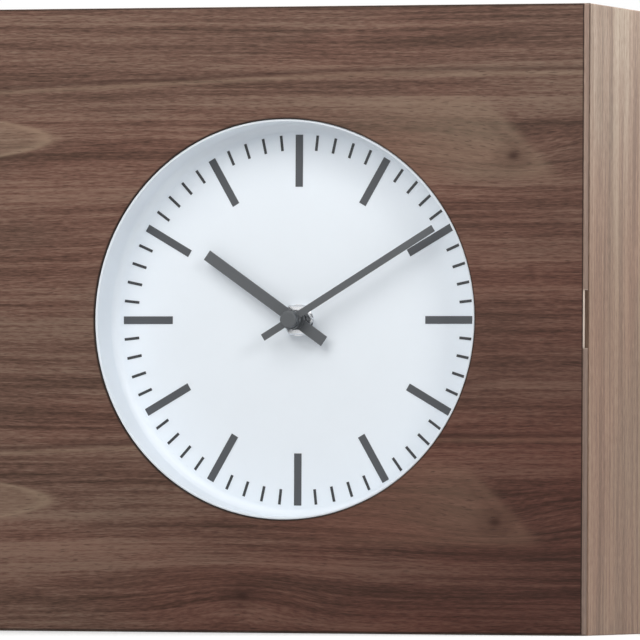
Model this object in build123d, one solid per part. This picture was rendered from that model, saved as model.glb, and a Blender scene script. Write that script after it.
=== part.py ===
from build123d import *
import math
import os

os.makedirs("parts", exist_ok=True)

# A square walnut key cabinet whose door carries a dished quartz clock.
# Lengths are in millimetres and angles in degrees.
# X runs right, Z up, the front faces -Y; the origin is on the wall plane, behind the dial's centre.

# Cabinet boards
CABINET_WIDTH = 300.0
CABINET_HEIGHT = 300.0
OVERALL_DEPTH = 100.0
PANEL_THICKNESS = 10.0
BACK_THICKNESS = 5.0
BACK_RABBET = 5.0
EDGE_ROUND = 0.6
BOARD_FIT = 0.1
OVERCUT = 1.0
DOWEL_RADIUS = 3.0
DOWEL_LENGTH = 24.0
DOWEL_IN_SIDE = 7.0
DOWEL_END_ROOM = 0.5
DOWEL_PLACE_SHARES = (0.28, 0.76)

# Two holes in the back panel for the wall screws
WALL_HOLE_RADIUS = 2.75
WALL_HOLE_SPACING = 220.0
WALL_HOLE_HEIGHT_SHARE = 0.74

# Countersunk wood screws, one family in several lengths
FLAT_HEAD = 2.4
FLAT_SINK = 1.2
FLAT_SHANK = 1.2
SCREW_FIT = 0.05
DRIVE_LENGTH_SHARE = 1.3
DRIVE_WIDTH_SHARE = 0.26
DRIVE_DEPTH_SHARE = 0.28
BACK_SCREW_LENGTH = 16.0
BACK_SCREW_INSET = 2.6
BACK_SCREW_PLACE_SHARES = (-0.8, 0.0, 0.8)
RAIL_SCREW_LENGTH = 12.0
RAIL_SCREW_PLACE_SHARES = (-0.75, 0.0, 0.75)
HINGE_SCREW_LENGTH = 6.0
CATCH_SCREW_LENGTH = 9.0
STRIKE_SCREW_LENGTH = 6.0

# Hook rail and wire hooks
RAIL_LENGTH = 228.0
RAIL_HEIGHT = 24.0
RAIL_THICKNESS = 10.0
RAIL_PLACE_SHARE = 0.5
HOOK_COUNT = 6
HOOK_RADIUS = 1.5
HOOK_REACH = 26.0
HOOK_BEND = 4.0
HOOK_TIP = 10.0
HOOK_BALL = 2.2
HOOK_SHANK = 7.0
HOOK_COLLAR = 4.0
HOOK_COLLAR_THICKNESS = 1.5

# Door
DOOR_THICKNESS = 8.0
DOOR_GAP = 2.0
DOOR_TRIM = 0.5
PULL_LENGTH = 27.5
PULL_DEPTH = 9.5
PULL_SKIN = 2.5
PULL_ROUND = 3.0
BUMPER_RADIUS = 3.5
BUMPER_CLEARANCE = 0.1
BUMPER_INSET = 14.0

# Butt hinges on the left edge
HINGE_LENGTH = 40.0
HINGE_BARREL = 2.5
HINGE_PIN = 1.0
HINGE_LEAF = 1.0
HINGE_LEAF_REACH = 8.5
HINGE_OFFSET = 1.0
HINGE_ROOM = 0.4
HINGE_KNUCKLES = 5
HINGE_PLACE_SHARE = 0.62
HINGE_SCREW_SHARE = 0.3
KNUCKLE_GAP = 0.15
PIN_FIT = 0.03
PIN_HEAD = 1.8
PIN_HEAD_RISE = 0.8

# Magnetic catch and strike plate
CATCH_PLACE_SHARE = 0.42
CATCH_LENGTH = 44.0
CATCH_BODY = 26.0
CATCH_WIDTH = 11.0
CATCH_DEPTH = 14.0
CATCH_EAR = 3.0
CATCH_INSET = 0.5
CATCH_MAGNET_LENGTH = 20.0
CATCH_MAGNET_WIDTH = 6.0
CATCH_MAGNET_DEPTH = 8.0
CATCH_MAGNET_GAP = 0.3
STRIKE_LENGTH = 34.0
STRIKE_WIDTH = 10.0
STRIKE_THICKNESS = 1.0
STRIKE_SCREW_SHARE = 0.38

# Dial ring let into the door, and the dial plate glued to its ledge
DIAL_OPENING = 96.0
DIAL_RECESS = 23.0
RING_FIT = 0.2
RING_WALL = 1.2
RING_CORNER = 4.0
RING_LEDGE = 0.5
LEDGE_THICKNESS = 1.5
LIP_RECESS = 0.8
LIP_ROUND = 0.4
FLANGE_WIDTH = 9.0
FLANGE_THICKNESS = 2.0
PLATE_FIT = 0.02
PLATE_LAP = 4.0
PLATE_LAP_THICKNESS = 1.0
RING_SCREWS = 6
RING_SCREW_TURN = 30.0
RING_SCREW_HEAD = 2.6
RING_SCREW_RISE = 1.4
RING_SCREW_SHANK = 1.3
RING_SCREW_LENGTH = 7.0

# Bars stuck on the dial plate for the hours, and shorter ones for the minutes between
HOUR_MARKS = 12
HOUR_MARK_LENGTH = 25.0
HOUR_MARK_WIDTH = 3.7
MINUTE_MARKS = 60
MINUTE_MARK_LENGTH = 7.4
MINUTE_MARK_WIDTH = 1.3
MARK_THICKNESS = 0.2
MARK_MARGIN = 1.1

# Hands; the time shown is an hour, and the minute hand's degrees clockwise from twelve
MINUTE_HAND_LENGTH = 83.6
MINUTE_HAND_TAIL = 16.5
MINUTE_HAND_WIDTH = 3.35
MINUTE_HAND_STAND = 11.6
MINUTE_HAND_ANGLE = 58.6
MINUTE_HUB = 4.6
HOUR_HAND_LENGTH = 54.5
HOUR_HAND_TAIL = 18.0
HOUR_HAND_WIDTH = 5.35
HOUR_HAND_STAND = 5.6
HOUR_SHOWN = 10
HOUR_HUB = 4.8
HAND_THICKNESS = 0.8
HUB_LENGTH = 2.4
HUB_FIT = 0.02
TUBE_SHOW = 0.6
CAP_RADIUS = 4.2
CAP_LENGTH = 3.2
CAP_THREAD = 2.0
CAP_ROUND = 0.8

# Washer, nut and threaded bush that clamp the movement to the dial
BUSH_RADIUS = 4.0
BUSH_FIT = 0.15
BUSH_SHOW = 0.5
WASHER_RADIUS = 7.6
WASHER_THICKNESS = 0.6
NUT_FLATS = 14.0
NUT_THICKNESS = 2.6
NUT_CHAMFER = 0.5
GASKET_RADIUS = 12.0
GASKET_THICKNESS = 1.0

# Movement case, cover and bearings
MOVEMENT_WALL = 1.5
COVER_THICKNESS = 1.5
COVER_SCREW_HEAD = 1.8
COVER_SCREW_RISE = 0.9
COVER_SCREW_SHANK = 0.8
COVER_SCREW_LENGTH = 6.0
POST_RADIUS = 2.2
POST_INSET_SHARE = 0.8
SUPPORT_RADIUS = 1.2
WHEEL_ROOM = 0.6
RUN_FIT = 0.08
END_SHAKE = 0.15
PIVOT_RADIUS = 0.5
PIVOT_REACH = 0.7
PIVOT_DEPTH = 0.9

# Wheel train: tooth counts, modules and where each arbor stands
GEAR_THICKNESS = 1.2
LAYER_GAP = 0.4
MOTION_MODULE = 0.3
GOING_MODULE = 0.3
ROTOR_MODULE = 0.25
CANNON_TEETH = 12
MOTION_WHEEL_TEETH = 36
MOTION_PINION_TEETH = 10
HOUR_WHEEL_TEETH = 40
SETTING_TEETH = 12
CENTRE_TEETH = 60
THIRD_PINION_TEETH = 8
THIRD_WHEEL_TEETH = 64
ROTOR_TEETH = 8
MOTION_ANGLE = 160.0
THIRD_ANGLE = 50.0
ROTOR_ANGLE = 100.0
CANNON_PHASE = 0.0
TOOTH_RISE_SHARE = 0.8
TOOTH_ROOT_SHARE = 1.15
TOOTH_TIP_WIDTH_SHARE = 0.2
TOOTH_PITCH_WIDTH_SHARE = 0.36
TOOTH_ROOT_WIDTH_SHARE = 0.46
MINUTE_ARBOR = 1.2
HOUR_TUBE = 2.2
THIRD_ARBOR = 0.8
ROTOR_ARBOR = 0.6
STUD_RADIUS = 0.6
KNOB_ARBOR = 1.0
KNOB_RADIUS = 5.0
KNOB_THICKNESS = 3.0
KNOB_GAP = 0.4
KNOB_RIBS = 24
KNOB_RIB_DEPTH = 0.4

# Stepping motor and circuit
ROTOR_MAGNET_RADIUS = 2.6
ROTOR_MAGNET_LENGTH = 3.0
AIR_GAP = 0.5
STATOR_LENGTH = 24.0
STATOR_WIDTH = 9.0
STATOR_THICKNESS = 1.0
LUG_WIDTH = 4.0
CORE_WIDTH = 2.6
CORE_THICKNESS = 1.0
COIL_RADIUS = 3.0
BOBBIN_RADIUS = 1.8
BOBBIN_FLANGE = 0.7
COIL_INSET = 0.2
BOARD_THICKNESS = 1.0
CHIP_SIZE = 4.0
CHIP_THICKNESS = 1.2
CRYSTAL_RADIUS = 1.0
CRYSTAL_LENGTH = 6.0
BATTERY_DIAMETER = 14.5
BATTERY_LENGTH = 50.5
BATTERY_NUB = 1.3
BATTERY_NUB_RADIUS = 2.75
BATTERY_ROOM = 0.25
CONTACT_ROOM = 1.8
CONTACT_THICKNESS = 0.4
CONTACT_WIDTH = 8.0
CONTACT_DIMPLE = 2.0
CONTACT_FIT = 0.05

# Planes and half sizes that follow from the values above
half_width = CABINET_WIDTH / 2
half_height = CABINET_HEIGHT / 2
inner_x = half_width - PANEL_THICKNESS
inner_z = half_height - PANEL_THICKNESS
door_front = -OVERALL_DEPTH
door_back = door_front + DOOR_THICKNESS
case_front = door_back + DOOR_GAP
rail_front = -BACK_THICKNESS - RAIL_THICKNESS
rail_z = RAIL_PLACE_SHARE * half_height
hinge_x = -half_width - HINGE_OFFSET
hinge_y = (door_back + case_front) / 2
hinge_levels = (-HINGE_PLACE_SHARE * half_height, HINGE_PLACE_SHARE * half_height)
leaf_start = hinge_x + HINGE_BARREL + HINGE_ROOM
leaf_end = -half_width + HINGE_LEAF_REACH
cabinet_leaf_y = (case_front, case_front + HINGE_LEAF)
door_leaf_y = (door_back - HINGE_LEAF, door_back)
catch_x = inner_x - CATCH_WIDTH / 2
catch_z = CATCH_PLACE_SHARE * half_height
catch_y = (case_front + CATCH_INSET, case_front + CATCH_INSET + CATCH_DEPTH)
dial_face = door_front + DIAL_RECESS
ledge_back = dial_face + LEDGE_THICKNESS
plate_back = ledge_back + PLATE_LAP_THICKNESS
lip_front = door_front + LIP_RECESS
ring_outer = DIAL_OPENING - RING_FIT
ring_inner = ring_outer - RING_WALL
ledge_inner = ring_inner - RING_CORNER - RING_LEDGE
mark_reach = ledge_inner - PLATE_FIT - MARK_MARGIN
flange_back = door_back + FLANGE_THICKNESS
nut_back = dial_face - WASHER_THICKNESS
nut_front = nut_back - NUT_THICKNESS
bush_front = nut_front - BUSH_SHOW
hour_hand_y = dial_face - HOUR_HAND_STAND
minute_hand_y = dial_face - MINUTE_HAND_STAND
hour_hand_angle = (HOUR_SHOWN + MINUTE_HAND_ANGLE / 360) * 360 / HOUR_MARKS
cap_back = minute_hand_y - HUB_LENGTH / 2
cap_front = cap_back - CAP_LENGTH
movement_front = plate_back + GASKET_THICKNESS
movement_floor = movement_front + MOVEMENT_WALL
movement_back = movement_floor + BATTERY_DIAMETER + BATTERY_ROOM
cover_back = movement_back + COVER_THICKNESS
knob_front = cover_back + KNOB_GAP


def polar(start, distance, angle):
    """Point at a distance and angle from a start, in the dial's plane."""
    turn = math.radians(angle)
    return (start[0] + distance * math.cos(turn), start[1] + distance * math.sin(turn))


def pitch_radius(teeth, module):
    return teeth * module / 2


def tip_radius(teeth, module):
    return pitch_radius(teeth, module) + TOOTH_RISE_SHARE * module


def layer(index):
    """Front and back planes of one layer of the wheel train."""
    front = movement_floor + LAYER_GAP + index * (GEAR_THICKNESS + LAYER_GAP)
    return (front, front + GEAR_THICKNESS)


# Arbor places, worked out from the wheels that must mesh
centre_axis = (0, 0)
motion_distance = pitch_radius(CANNON_TEETH + MOTION_WHEEL_TEETH, MOTION_MODULE)
hour_module = 2 * motion_distance / (MOTION_PINION_TEETH + HOUR_WHEEL_TEETH)
setting_distance = pitch_radius(SETTING_TEETH + MOTION_WHEEL_TEETH, MOTION_MODULE)
third_distance = pitch_radius(CENTRE_TEETH + THIRD_PINION_TEETH, GOING_MODULE)
rotor_distance = pitch_radius(THIRD_WHEEL_TEETH + ROTOR_TEETH, ROTOR_MODULE)
motion_axis = polar(centre_axis, motion_distance, MOTION_ANGLE)
setting_axis = polar(motion_axis, setting_distance, MOTION_ANGLE)
third_axis = polar(centre_axis, third_distance, THIRD_ANGLE)
rotor_axis = polar(third_axis, rotor_distance, ROTOR_ANGLE)

# Movement case, sized round what it holds
magnet_front = layer(4)[0]
magnet_y = (magnet_front, magnet_front + ROTOR_MAGNET_LENGTH)
stator_front = magnet_front + (ROTOR_MAGNET_LENGTH - STATOR_THICKNESS) / 2
stator_back = stator_front + STATOR_THICKNESS
core_y = stator_back + CORE_THICKNESS / 2
coil_z = rotor_axis[1] + STATOR_WIDTH / 2 + COIL_RADIUS + WHEEL_ROOM
coil_half = STATOR_LENGTH / 2 - LUG_WIDTH - WHEEL_ROOM
lug_x = (STATOR_LENGTH - LUG_WIDTH) / 2
bay_x = BATTERY_LENGTH / 2 + CONTACT_ROOM
case_x = bay_x + MOVEMENT_WALL
gear_low = -tip_radius(CENTRE_TEETH, GOING_MODULE) - WHEEL_ROOM
gear_high = coil_z + COIL_RADIUS + WHEEL_ROOM
bay_high = gear_low - MOVEMENT_WALL
bay_low = bay_high - BATTERY_DIAMETER - 2 * BATTERY_ROOM
case_low = bay_low - MOVEMENT_WALL
case_high = gear_high + MOVEMENT_WALL
battery_y = movement_floor + BATTERY_ROOM + BATTERY_DIAMETER / 2
battery_z = (bay_low + bay_high) / 2
post_inset = POST_INSET_SHARE * POST_RADIUS
post_places = (
    (bay_x - post_inset, gear_high - post_inset),
    (bay_x - post_inset, gear_low + post_inset),
    (-bay_x + post_inset, gear_low + post_inset),
)
board_left = -bay_x + WHEEL_ROOM
board_right = rotor_axis[0] - STATOR_LENGTH / 2 - WHEEL_ROOM
board_low = setting_axis[1] + tip_radius(SETTING_TEETH, MOTION_MODULE) + WHEEL_ROOM
board_high = gear_high - WHEEL_ROOM
board_support_x = board_left + 2 * SUPPORT_RADIUS
board_supports = (
    (board_support_x, board_low + 2 * SUPPORT_RADIUS),
    (board_support_x, board_high - 2 * SUPPORT_RADIUS),
)
stator_supports = ((rotor_axis[0] - lug_x, coil_z), (rotor_axis[0] + lug_x, coil_z))


def span(middle, length):
    """Low and high ends of a length about its middle."""
    return (middle - length / 2, middle + length / 2)


def block(x, y, z):
    """Box from its low and high ends along each axis."""
    size = [ends[1] - ends[0] for ends in (x, y, z)]
    middle = [(ends[0] + ends[1]) / 2 for ends in (x, y, z)]
    return Pos(*middle) * Box(*size)


def slab(sketch, front, back):
    """A sketch drawn as seen from the front, thickened between two planes."""
    plane = Plane(origin=(0, back, 0), x_dir=(1, 0, 0), z_dir=(0, -1, 0))
    return extrude(plane * sketch, amount=back - front)


def rod(radius, front, back, place=(0, 0)):
    """Cylinder along Y at a place in the dial's plane."""
    return Pos(place[0], 0, place[1]) * slab(Circle(radius), front, back)


def tube(outer, inner, front, back, place=(0, 0)):
    """Hollow cylinder along Y."""
    return rod(outer, front, back, place) - rod(inner, front - OVERCUT, back + OVERCUT, place)


def upright(radius, low, high, x, y):
    """Cylinder along Z."""
    return Pos(x, y, (low + high) / 2) * Cylinder(radius, high - low)


def crosswise(radius, left, right, y, z):
    """Cylinder along X."""
    return Pos((left + right) / 2, y, z) * Rot(0, 90, 0) * Cylinder(radius, right - left)


def facing(point, outward):
    """Location whose Z axis points outward from a surface."""
    return Plane(origin=point, z_dir=outward).location


def cross_drive(head, top):
    """Cross-shaped driver recess in a screw head of a given radius and top."""
    long = DRIVE_LENGTH_SHARE * head
    wide = DRIVE_WIDTH_SHARE * head
    deep = (top - DRIVE_DEPTH_SHARE * head, top + OVERCUT)
    return block(span(0, long), span(0, wide), deep) + block(span(0, wide), span(0, long), deep)


def flat_screw(length):
    """Countersunk screw, its head flush with z = 0."""
    head = Pos(0, 0, -FLAT_SINK / 2) * Cone(FLAT_SHANK, FLAT_HEAD, FLAT_SINK)
    screw = head + Pos(0, 0, -length / 2) * Cylinder(FLAT_SHANK, length)
    return screw - cross_drive(FLAT_HEAD, 0)


def flat_hole(length):
    """Room for a countersunk screw, open above z = 0."""
    head = FLAT_HEAD + SCREW_FIT
    shank = FLAT_SHANK + SCREW_FIT
    depth = length + SCREW_FIT
    sink = Pos(0, 0, -FLAT_SINK / 2) * Cone(shank, head, FLAT_SINK)
    mouth = Pos(0, 0, OVERCUT / 2) * Cylinder(head, OVERCUT)
    return sink + mouth + Pos(0, 0, -depth / 2) * Cylinder(shank, depth)


def pan_screw(head, rise, shank, length):
    """Pan-head screw standing on z = 0."""
    cap = Pos(0, 0, rise / 2) * Cylinder(head, rise)
    cap = fillet(cap.edges().sort_by(Axis.Z)[-1], rise / 2)
    screw = cap + Pos(0, 0, -length / 2) * Cylinder(shank, length)
    return screw - cross_drive(head, rise)


def pan_hole(shank, length):
    """Room for a pan-head screw's shank."""
    depth = length + SCREW_FIT
    top = Pos(0, 0, OVERCUT / 2) * Cylinder(shank + SCREW_FIT, OVERCUT)
    return top + Pos(0, 0, -depth / 2) * Cylinder(shank + SCREW_FIT, depth)


def at_each(shape, places):
    """Copies of a shape, one per location."""
    return [place * shape for place in places]


def cut_each(body, cutters):
    for cutter in cutters:
        body = body - cutter
    return body


def gear(teeth, module, planes, place, phase=0):
    """Spur gear with straight-sided teeth; phase is the angle of one tooth."""
    pitch = pitch_radius(teeth, module)
    root = pitch - TOOTH_ROOT_SHARE * module
    tip = tip_radius(teeth, module)
    half_tooth = math.pi * module / 2
    left = (
        (root, -TOOTH_ROOT_WIDTH_SHARE),
        (pitch, -TOOTH_PITCH_WIDTH_SHARE),
        (tip, -TOOTH_TIP_WIDTH_SHARE),
    )
    right = tuple((radius, -width) for radius, width in reversed(left))
    points = []
    for tooth in range(teeth):
        middle = math.radians(phase) + tooth * 2 * math.pi / teeth
        for radius, width in left + right:
            turn = middle + width * half_tooth / radius
            points.append((radius * math.cos(turn), radius * math.sin(turn)))
    outline = make_face(Polyline(*points, close=True))
    return Pos(place[0], 0, place[1]) * slab(outline, *planes)


def mesh_phase(angle, teeth, phase, next_teeth):
    """Phase of a gear that meshes with one of a known phase, lying at an angle from it."""
    return angle + 180 + 180 / next_teeth - (phase - angle) * teeth / next_teeth


# Tooth phases at rest, each set by the gear it meshes with
motion_wheel_phase = mesh_phase(MOTION_ANGLE, CANNON_TEETH, CANNON_PHASE, MOTION_WHEEL_TEETH)
setting_phase = mesh_phase(MOTION_ANGLE, MOTION_WHEEL_TEETH, motion_wheel_phase, SETTING_TEETH)
hour_phase = mesh_phase(MOTION_ANGLE + 180, MOTION_PINION_TEETH, 0, HOUR_WHEEL_TEETH)
third_pinion_phase = mesh_phase(THIRD_ANGLE, CENTRE_TEETH, 0, THIRD_PINION_TEETH)
rotor_phase = mesh_phase(ROTOR_ANGLE, THIRD_WHEEL_TEETH, 0, ROTOR_TEETH)


# Cabinet boards

def dowel_places():
    """Centre lines of the corner dowels: side, depth and height."""
    places = []
    for side in (-1, 1):
        for level in (-1, 1):
            for share in DOWEL_PLACE_SHARES:
                places.append((side, share * case_front, level * (inner_z + PANEL_THICKNESS / 2)))
    return places


def dowel(side, y, z, radius, end_room):
    """One dowel, or its hole, across the joint of a side with the top or bottom."""
    inside = inner_x - (DOWEL_LENGTH - DOWEL_IN_SIDE) - end_room
    outside = inner_x + DOWEL_IN_SIDE + end_room
    ends = sorted((side * inside, side * outside))
    return crosswise(radius, ends[0], ends[1], y, z)


def corner_dowels():
    return [dowel(*place, DOWEL_RADIUS, 0) for place in dowel_places()]


def dowel_holes():
    return [dowel(*place, DOWEL_RADIUS + BOARD_FIT, DOWEL_END_ROOM) for place in dowel_places()]


def back_space(fit):
    """The back panel's outline, let into the rear of the four boards."""
    wide = 2 * (inner_x + BACK_RABBET - fit)
    high = 2 * (inner_z + BACK_RABBET - fit)
    return (span(0, wide), span(0, high))


def rabbet():
    wide, high = back_space(0)
    return block(wide, (-BACK_THICKNESS, OVERCUT), high)


def back_screw_places():
    """Screws round the back panel's edge into the boards' rabbets."""
    reach_x = inner_x + BACK_SCREW_INSET
    reach_z = inner_z + BACK_SCREW_INSET
    places = []
    for side in (-1, 1):
        for share in BACK_SCREW_PLACE_SHARES:
            places.append(facing((side * reach_x, 0, share * inner_z), (0, 1, 0)))
            places.append(facing((share * inner_x, 0, side * reach_z), (0, 1, 0)))
    return places


def back_screws():
    return at_each(flat_screw(BACK_SCREW_LENGTH), back_screw_places())


def back_screw_holes():
    return at_each(flat_hole(BACK_SCREW_LENGTH), back_screw_places())


def rail_screw_places():
    places = []
    for share in RAIL_SCREW_PLACE_SHARES:
        places.append(facing((share * RAIL_LENGTH / 2, 0, rail_z), (0, 1, 0)))
    return places


def rail_screws():
    return at_each(flat_screw(RAIL_SCREW_LENGTH), rail_screw_places())


def rail_screw_holes():
    return at_each(flat_hole(RAIL_SCREW_LENGTH), rail_screw_places())


def side_board(side):
    """One side board with its outer edges eased, before its own fittings are cut."""
    ends = sorted((side * inner_x, side * half_width))
    board = block(ends, (case_front, 0), span(0, CABINET_HEIGHT))
    outer = board.faces().sort_by(Axis.X)[-1 if side > 0 else 0]
    board = fillet(outer.edges(), EDGE_ROUND)
    return cut_each(board - rabbet(), dowel_holes() + back_screw_holes())


def side_panel_left():
    board = side_board(-1)
    for level in hinge_levels:
        board = board - hinge_pocket(level, cabinet_leaf_y, -OVERCUT, 0)
    return cut_each(board, hinge_screw_holes(cabinet_leaf_y[0], (0, -1, 0)))


def side_panel_right():
    return cut_each(side_board(1), catch_screw_holes())


def level_board(level):
    """Top or bottom board between the sides."""
    ends = sorted((level * inner_z, level * half_height))
    board = block(span(0, 2 * inner_x), (case_front, 0), ends)
    return cut_each(board - rabbet(), dowel_holes() + back_screw_holes())


def wall_holes():
    height = WALL_HOLE_HEIGHT_SHARE * half_height
    holes = []
    for side in (-1, 1):
        place = (side * WALL_HOLE_SPACING / 2, height)
        holes.append(rod(WALL_HOLE_RADIUS, -BACK_THICKNESS - OVERCUT, OVERCUT, place))
    return holes


def back_panel():
    wide, high = back_space(BOARD_FIT)
    board = block(wide, (-BACK_THICKNESS, 0), high)
    return cut_each(board, wall_holes() + back_screw_holes() + rail_screw_holes())


# Hook rail and hooks

def hook_x(index):
    pitch = RAIL_LENGTH / HOOK_COUNT
    return (index + 1 / 2) * pitch - RAIL_LENGTH / 2


def hook():
    """Bent wire hook with a collar and a ball tip, its collar's back at the origin."""
    wire = FilletPolyline((HOOK_SHANK, 0), (-HOOK_REACH, 0), (-HOOK_REACH, HOOK_TIP), radius=HOOK_BEND)
    path = Plane.YZ * wire
    section = Plane(origin=path @ 0, z_dir=path % 0) * Circle(HOOK_RADIUS)
    collar = rod(HOOK_COLLAR, -HOOK_COLLAR_THICKNESS, 0)
    return sweep(section, path=path) + collar + Pos(0, -HOOK_REACH, HOOK_TIP) * Sphere(HOOK_BALL)


def key_hooks():
    return [Pos(hook_x(index), rail_front, rail_z) * hook() for index in range(HOOK_COUNT)]


def hook_rail():
    rail = block(span(0, RAIL_LENGTH), (rail_front, -BACK_THICKNESS), span(rail_z, RAIL_HEIGHT))
    rail = fillet(rail.faces().sort_by(Axis.Y)[0].edges(), EDGE_ROUND)
    depth = rail_front + HOOK_SHANK + BOARD_FIT
    for index in range(HOOK_COUNT):
        rail = rail - rod(HOOK_RADIUS + BOARD_FIT, rail_front - OVERCUT, depth, (hook_x(index), rail_z))
    return cut_each(rail, rail_screw_holes())


# Hinges

def knuckle(level, index):
    """Low and high ends of one knuckle of a hinge."""
    length = HINGE_LENGTH / HINGE_KNUCKLES
    low = level - HINGE_LENGTH / 2 + index * length
    return (low + KNUCKLE_GAP / 2, low + length - KNUCKLE_GAP / 2)


def hinge_leaf(level, leaf_y, first, outward):
    """One leaf with every second knuckle, starting from the first given."""
    leaf = block((leaf_start, leaf_end), leaf_y, span(level, HINGE_LENGTH))
    for index in range(first, HINGE_KNUCKLES, 2):
        ends = knuckle(level, index)
        leaf = leaf + upright(HINGE_BARREL, *ends, hinge_x, hinge_y)
        leaf = leaf + block((hinge_x, leaf_start), leaf_y, ends)
    leaf = leaf - upright(HINGE_PIN + PIN_FIT, level - HINGE_LENGTH, level + HINGE_LENGTH, hinge_x, hinge_y)
    face = leaf_y[0] if outward[1] < 0 else leaf_y[1]
    return cut_each(leaf, hinge_screw_holes(face, outward))


def hinge_pocket(level, leaf_y, front_room, back_room):
    """Room in a board for a hinge's barrel and one leaf."""
    half = HINGE_LENGTH / 2 + PIN_HEAD_RISE + KNUCKLE_GAP + HINGE_ROOM
    barrel = upright(HINGE_BARREL + HINGE_ROOM, level - half, level + half, hinge_x, hinge_y)
    deep = (leaf_y[0] + front_room, leaf_y[1] + back_room)
    seat = block((hinge_x, leaf_end + BOARD_FIT), deep, span(level, HINGE_LENGTH + 2 * BOARD_FIT))
    return barrel + seat


def hinge_screw_places(face, outward):
    x = (leaf_start + leaf_end) / 2
    places = []
    for level in hinge_levels:
        for side in (-1, 1):
            z = level + side * HINGE_SCREW_SHARE * HINGE_LENGTH
            places.append(facing((x, face, z), outward))
    return places


def hinge_screws(face, outward):
    return at_each(flat_screw(HINGE_SCREW_LENGTH), hinge_screw_places(face, outward))


def hinge_screw_holes(face, outward):
    return at_each(flat_hole(HINGE_SCREW_LENGTH), hinge_screw_places(face, outward))


def hinge_pins():
    pins = []
    for level in hinge_levels:
        half = HINGE_LENGTH / 2 + KNUCKLE_GAP
        pin = upright(HINGE_PIN, level - half, level + half, hinge_x, hinge_y)
        for side in (-1, 1):
            ends = sorted((level + side * half, level + side * (half + PIN_HEAD_RISE)))
            pin = pin + upright(PIN_HEAD, *ends, hinge_x, hinge_y)
        pins.append(pin)
    return pins


def hinge_leaves_cabinet():
    return [hinge_leaf(level, cabinet_leaf_y, 0, (0, -1, 0)) for level in hinge_levels]


def hinge_leaves_door():
    return [hinge_leaf(level, door_leaf_y, 1, (0, 1, 0)) for level in hinge_levels]


# Catch, strike plate and bumpers

def catch_screw_places():
    x = inner_x - CATCH_EAR
    y = (catch_y[0] + catch_y[1]) / 2
    reach = (CATCH_LENGTH + CATCH_BODY) / 4
    return [facing((x, y, catch_z + side * reach), (-1, 0, 0)) for side in (-1, 1)]


def catch_screws():
    return at_each(flat_screw(CATCH_SCREW_LENGTH), catch_screw_places())


def catch_screw_holes():
    return at_each(flat_hole(CATCH_SCREW_LENGTH), catch_screw_places())


def catch_magnet(fit=0):
    """The magnet, or with a fit the pocket that holds it."""
    front = door_back + STRIKE_THICKNESS + CATCH_MAGNET_GAP
    wide = span(catch_x, CATCH_MAGNET_WIDTH + 2 * fit)
    high = span(catch_z, CATCH_MAGNET_LENGTH + 2 * fit)
    return block(wide, (front, front + CATCH_MAGNET_DEPTH), high)


def catch_housing():
    ears = block((inner_x - CATCH_EAR, inner_x), catch_y, span(catch_z, CATCH_LENGTH))
    body = block((inner_x - CATCH_WIDTH, inner_x), catch_y, span(catch_z, CATCH_BODY))
    return cut_each(ears + body, [catch_magnet(BOARD_FIT)] + catch_screw_holes())


def strike_screw_places():
    reach = STRIKE_SCREW_SHARE * STRIKE_LENGTH
    face = door_back + STRIKE_THICKNESS
    return [facing((catch_x, face, catch_z + side * reach), (0, 1, 0)) for side in (-1, 1)]


def strike_screws():
    return at_each(flat_screw(STRIKE_SCREW_LENGTH), strike_screw_places())


def strike_screw_holes():
    return at_each(flat_hole(STRIKE_SCREW_LENGTH), strike_screw_places())


def strike_plate():
    thick = (door_back, door_back + STRIKE_THICKNESS)
    plate = block(span(catch_x, STRIKE_WIDTH), thick, span(catch_z, STRIKE_LENGTH))
    return cut_each(plate, strike_screw_holes())


def door_bumpers():
    x = inner_x + PANEL_THICKNESS / 2
    front = door_back + BUMPER_CLEARANCE
    reach = half_height - BUMPER_INSET
    return [rod(BUMPER_RADIUS, front, case_front, (x, side * reach)) for side in (-1, 1)]


# Door

def finger_pull():
    """Pocket cut from behind into the door's free edge."""
    wide = (half_width - PULL_DEPTH, half_width + OVERCUT)
    pocket = block(wide, (door_front + PULL_SKIN, door_back + OVERCUT), span(0, PULL_LENGTH))
    inner = pocket.edges().filter_by(Axis.Y).sort_by(Axis.X)[:2]
    return fillet(inner, PULL_ROUND)


def door_panel():
    board = block(span(0, CABINET_WIDTH), (door_front, door_back), span(0, CABINET_HEIGHT - 2 * DOOR_TRIM))
    board = fillet(board.edges(), EDGE_ROUND)
    board = board - rod(DIAL_OPENING, door_front - OVERCUT, door_back + OVERCUT) - finger_pull()
    for level in hinge_levels:
        board = board - hinge_pocket(level, door_leaf_y, 0, OVERCUT)
    holes = hinge_screw_holes(door_leaf_y[1], (0, 1, 0)) + strike_screw_holes() + ring_screw_holes()
    return cut_each(board, holes)


# Dial ring and dial plate

def ring_screw_places():
    reach = DIAL_OPENING + FLANGE_WIDTH / 2
    places = []
    for index in range(RING_SCREWS):
        place = polar(centre_axis, reach, RING_SCREW_TURN + index * 360 / RING_SCREWS)
        places.append(facing((place[0], flange_back, place[1]), (0, 1, 0)))
    return places


def ring_screws():
    screw = pan_screw(RING_SCREW_HEAD, RING_SCREW_RISE, RING_SCREW_SHANK, RING_SCREW_LENGTH)
    return at_each(screw, ring_screw_places())


def ring_screw_holes():
    return at_each(pan_hole(RING_SCREW_SHANK, RING_SCREW_LENGTH), ring_screw_places())


def round_corner(section, corner, radius):
    """Fillet the one corner of a flat section that lies at a point."""
    vertex = section.vertices().sort_by_distance((*corner, 0))[0]
    return fillet(vertex, radius)


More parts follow.
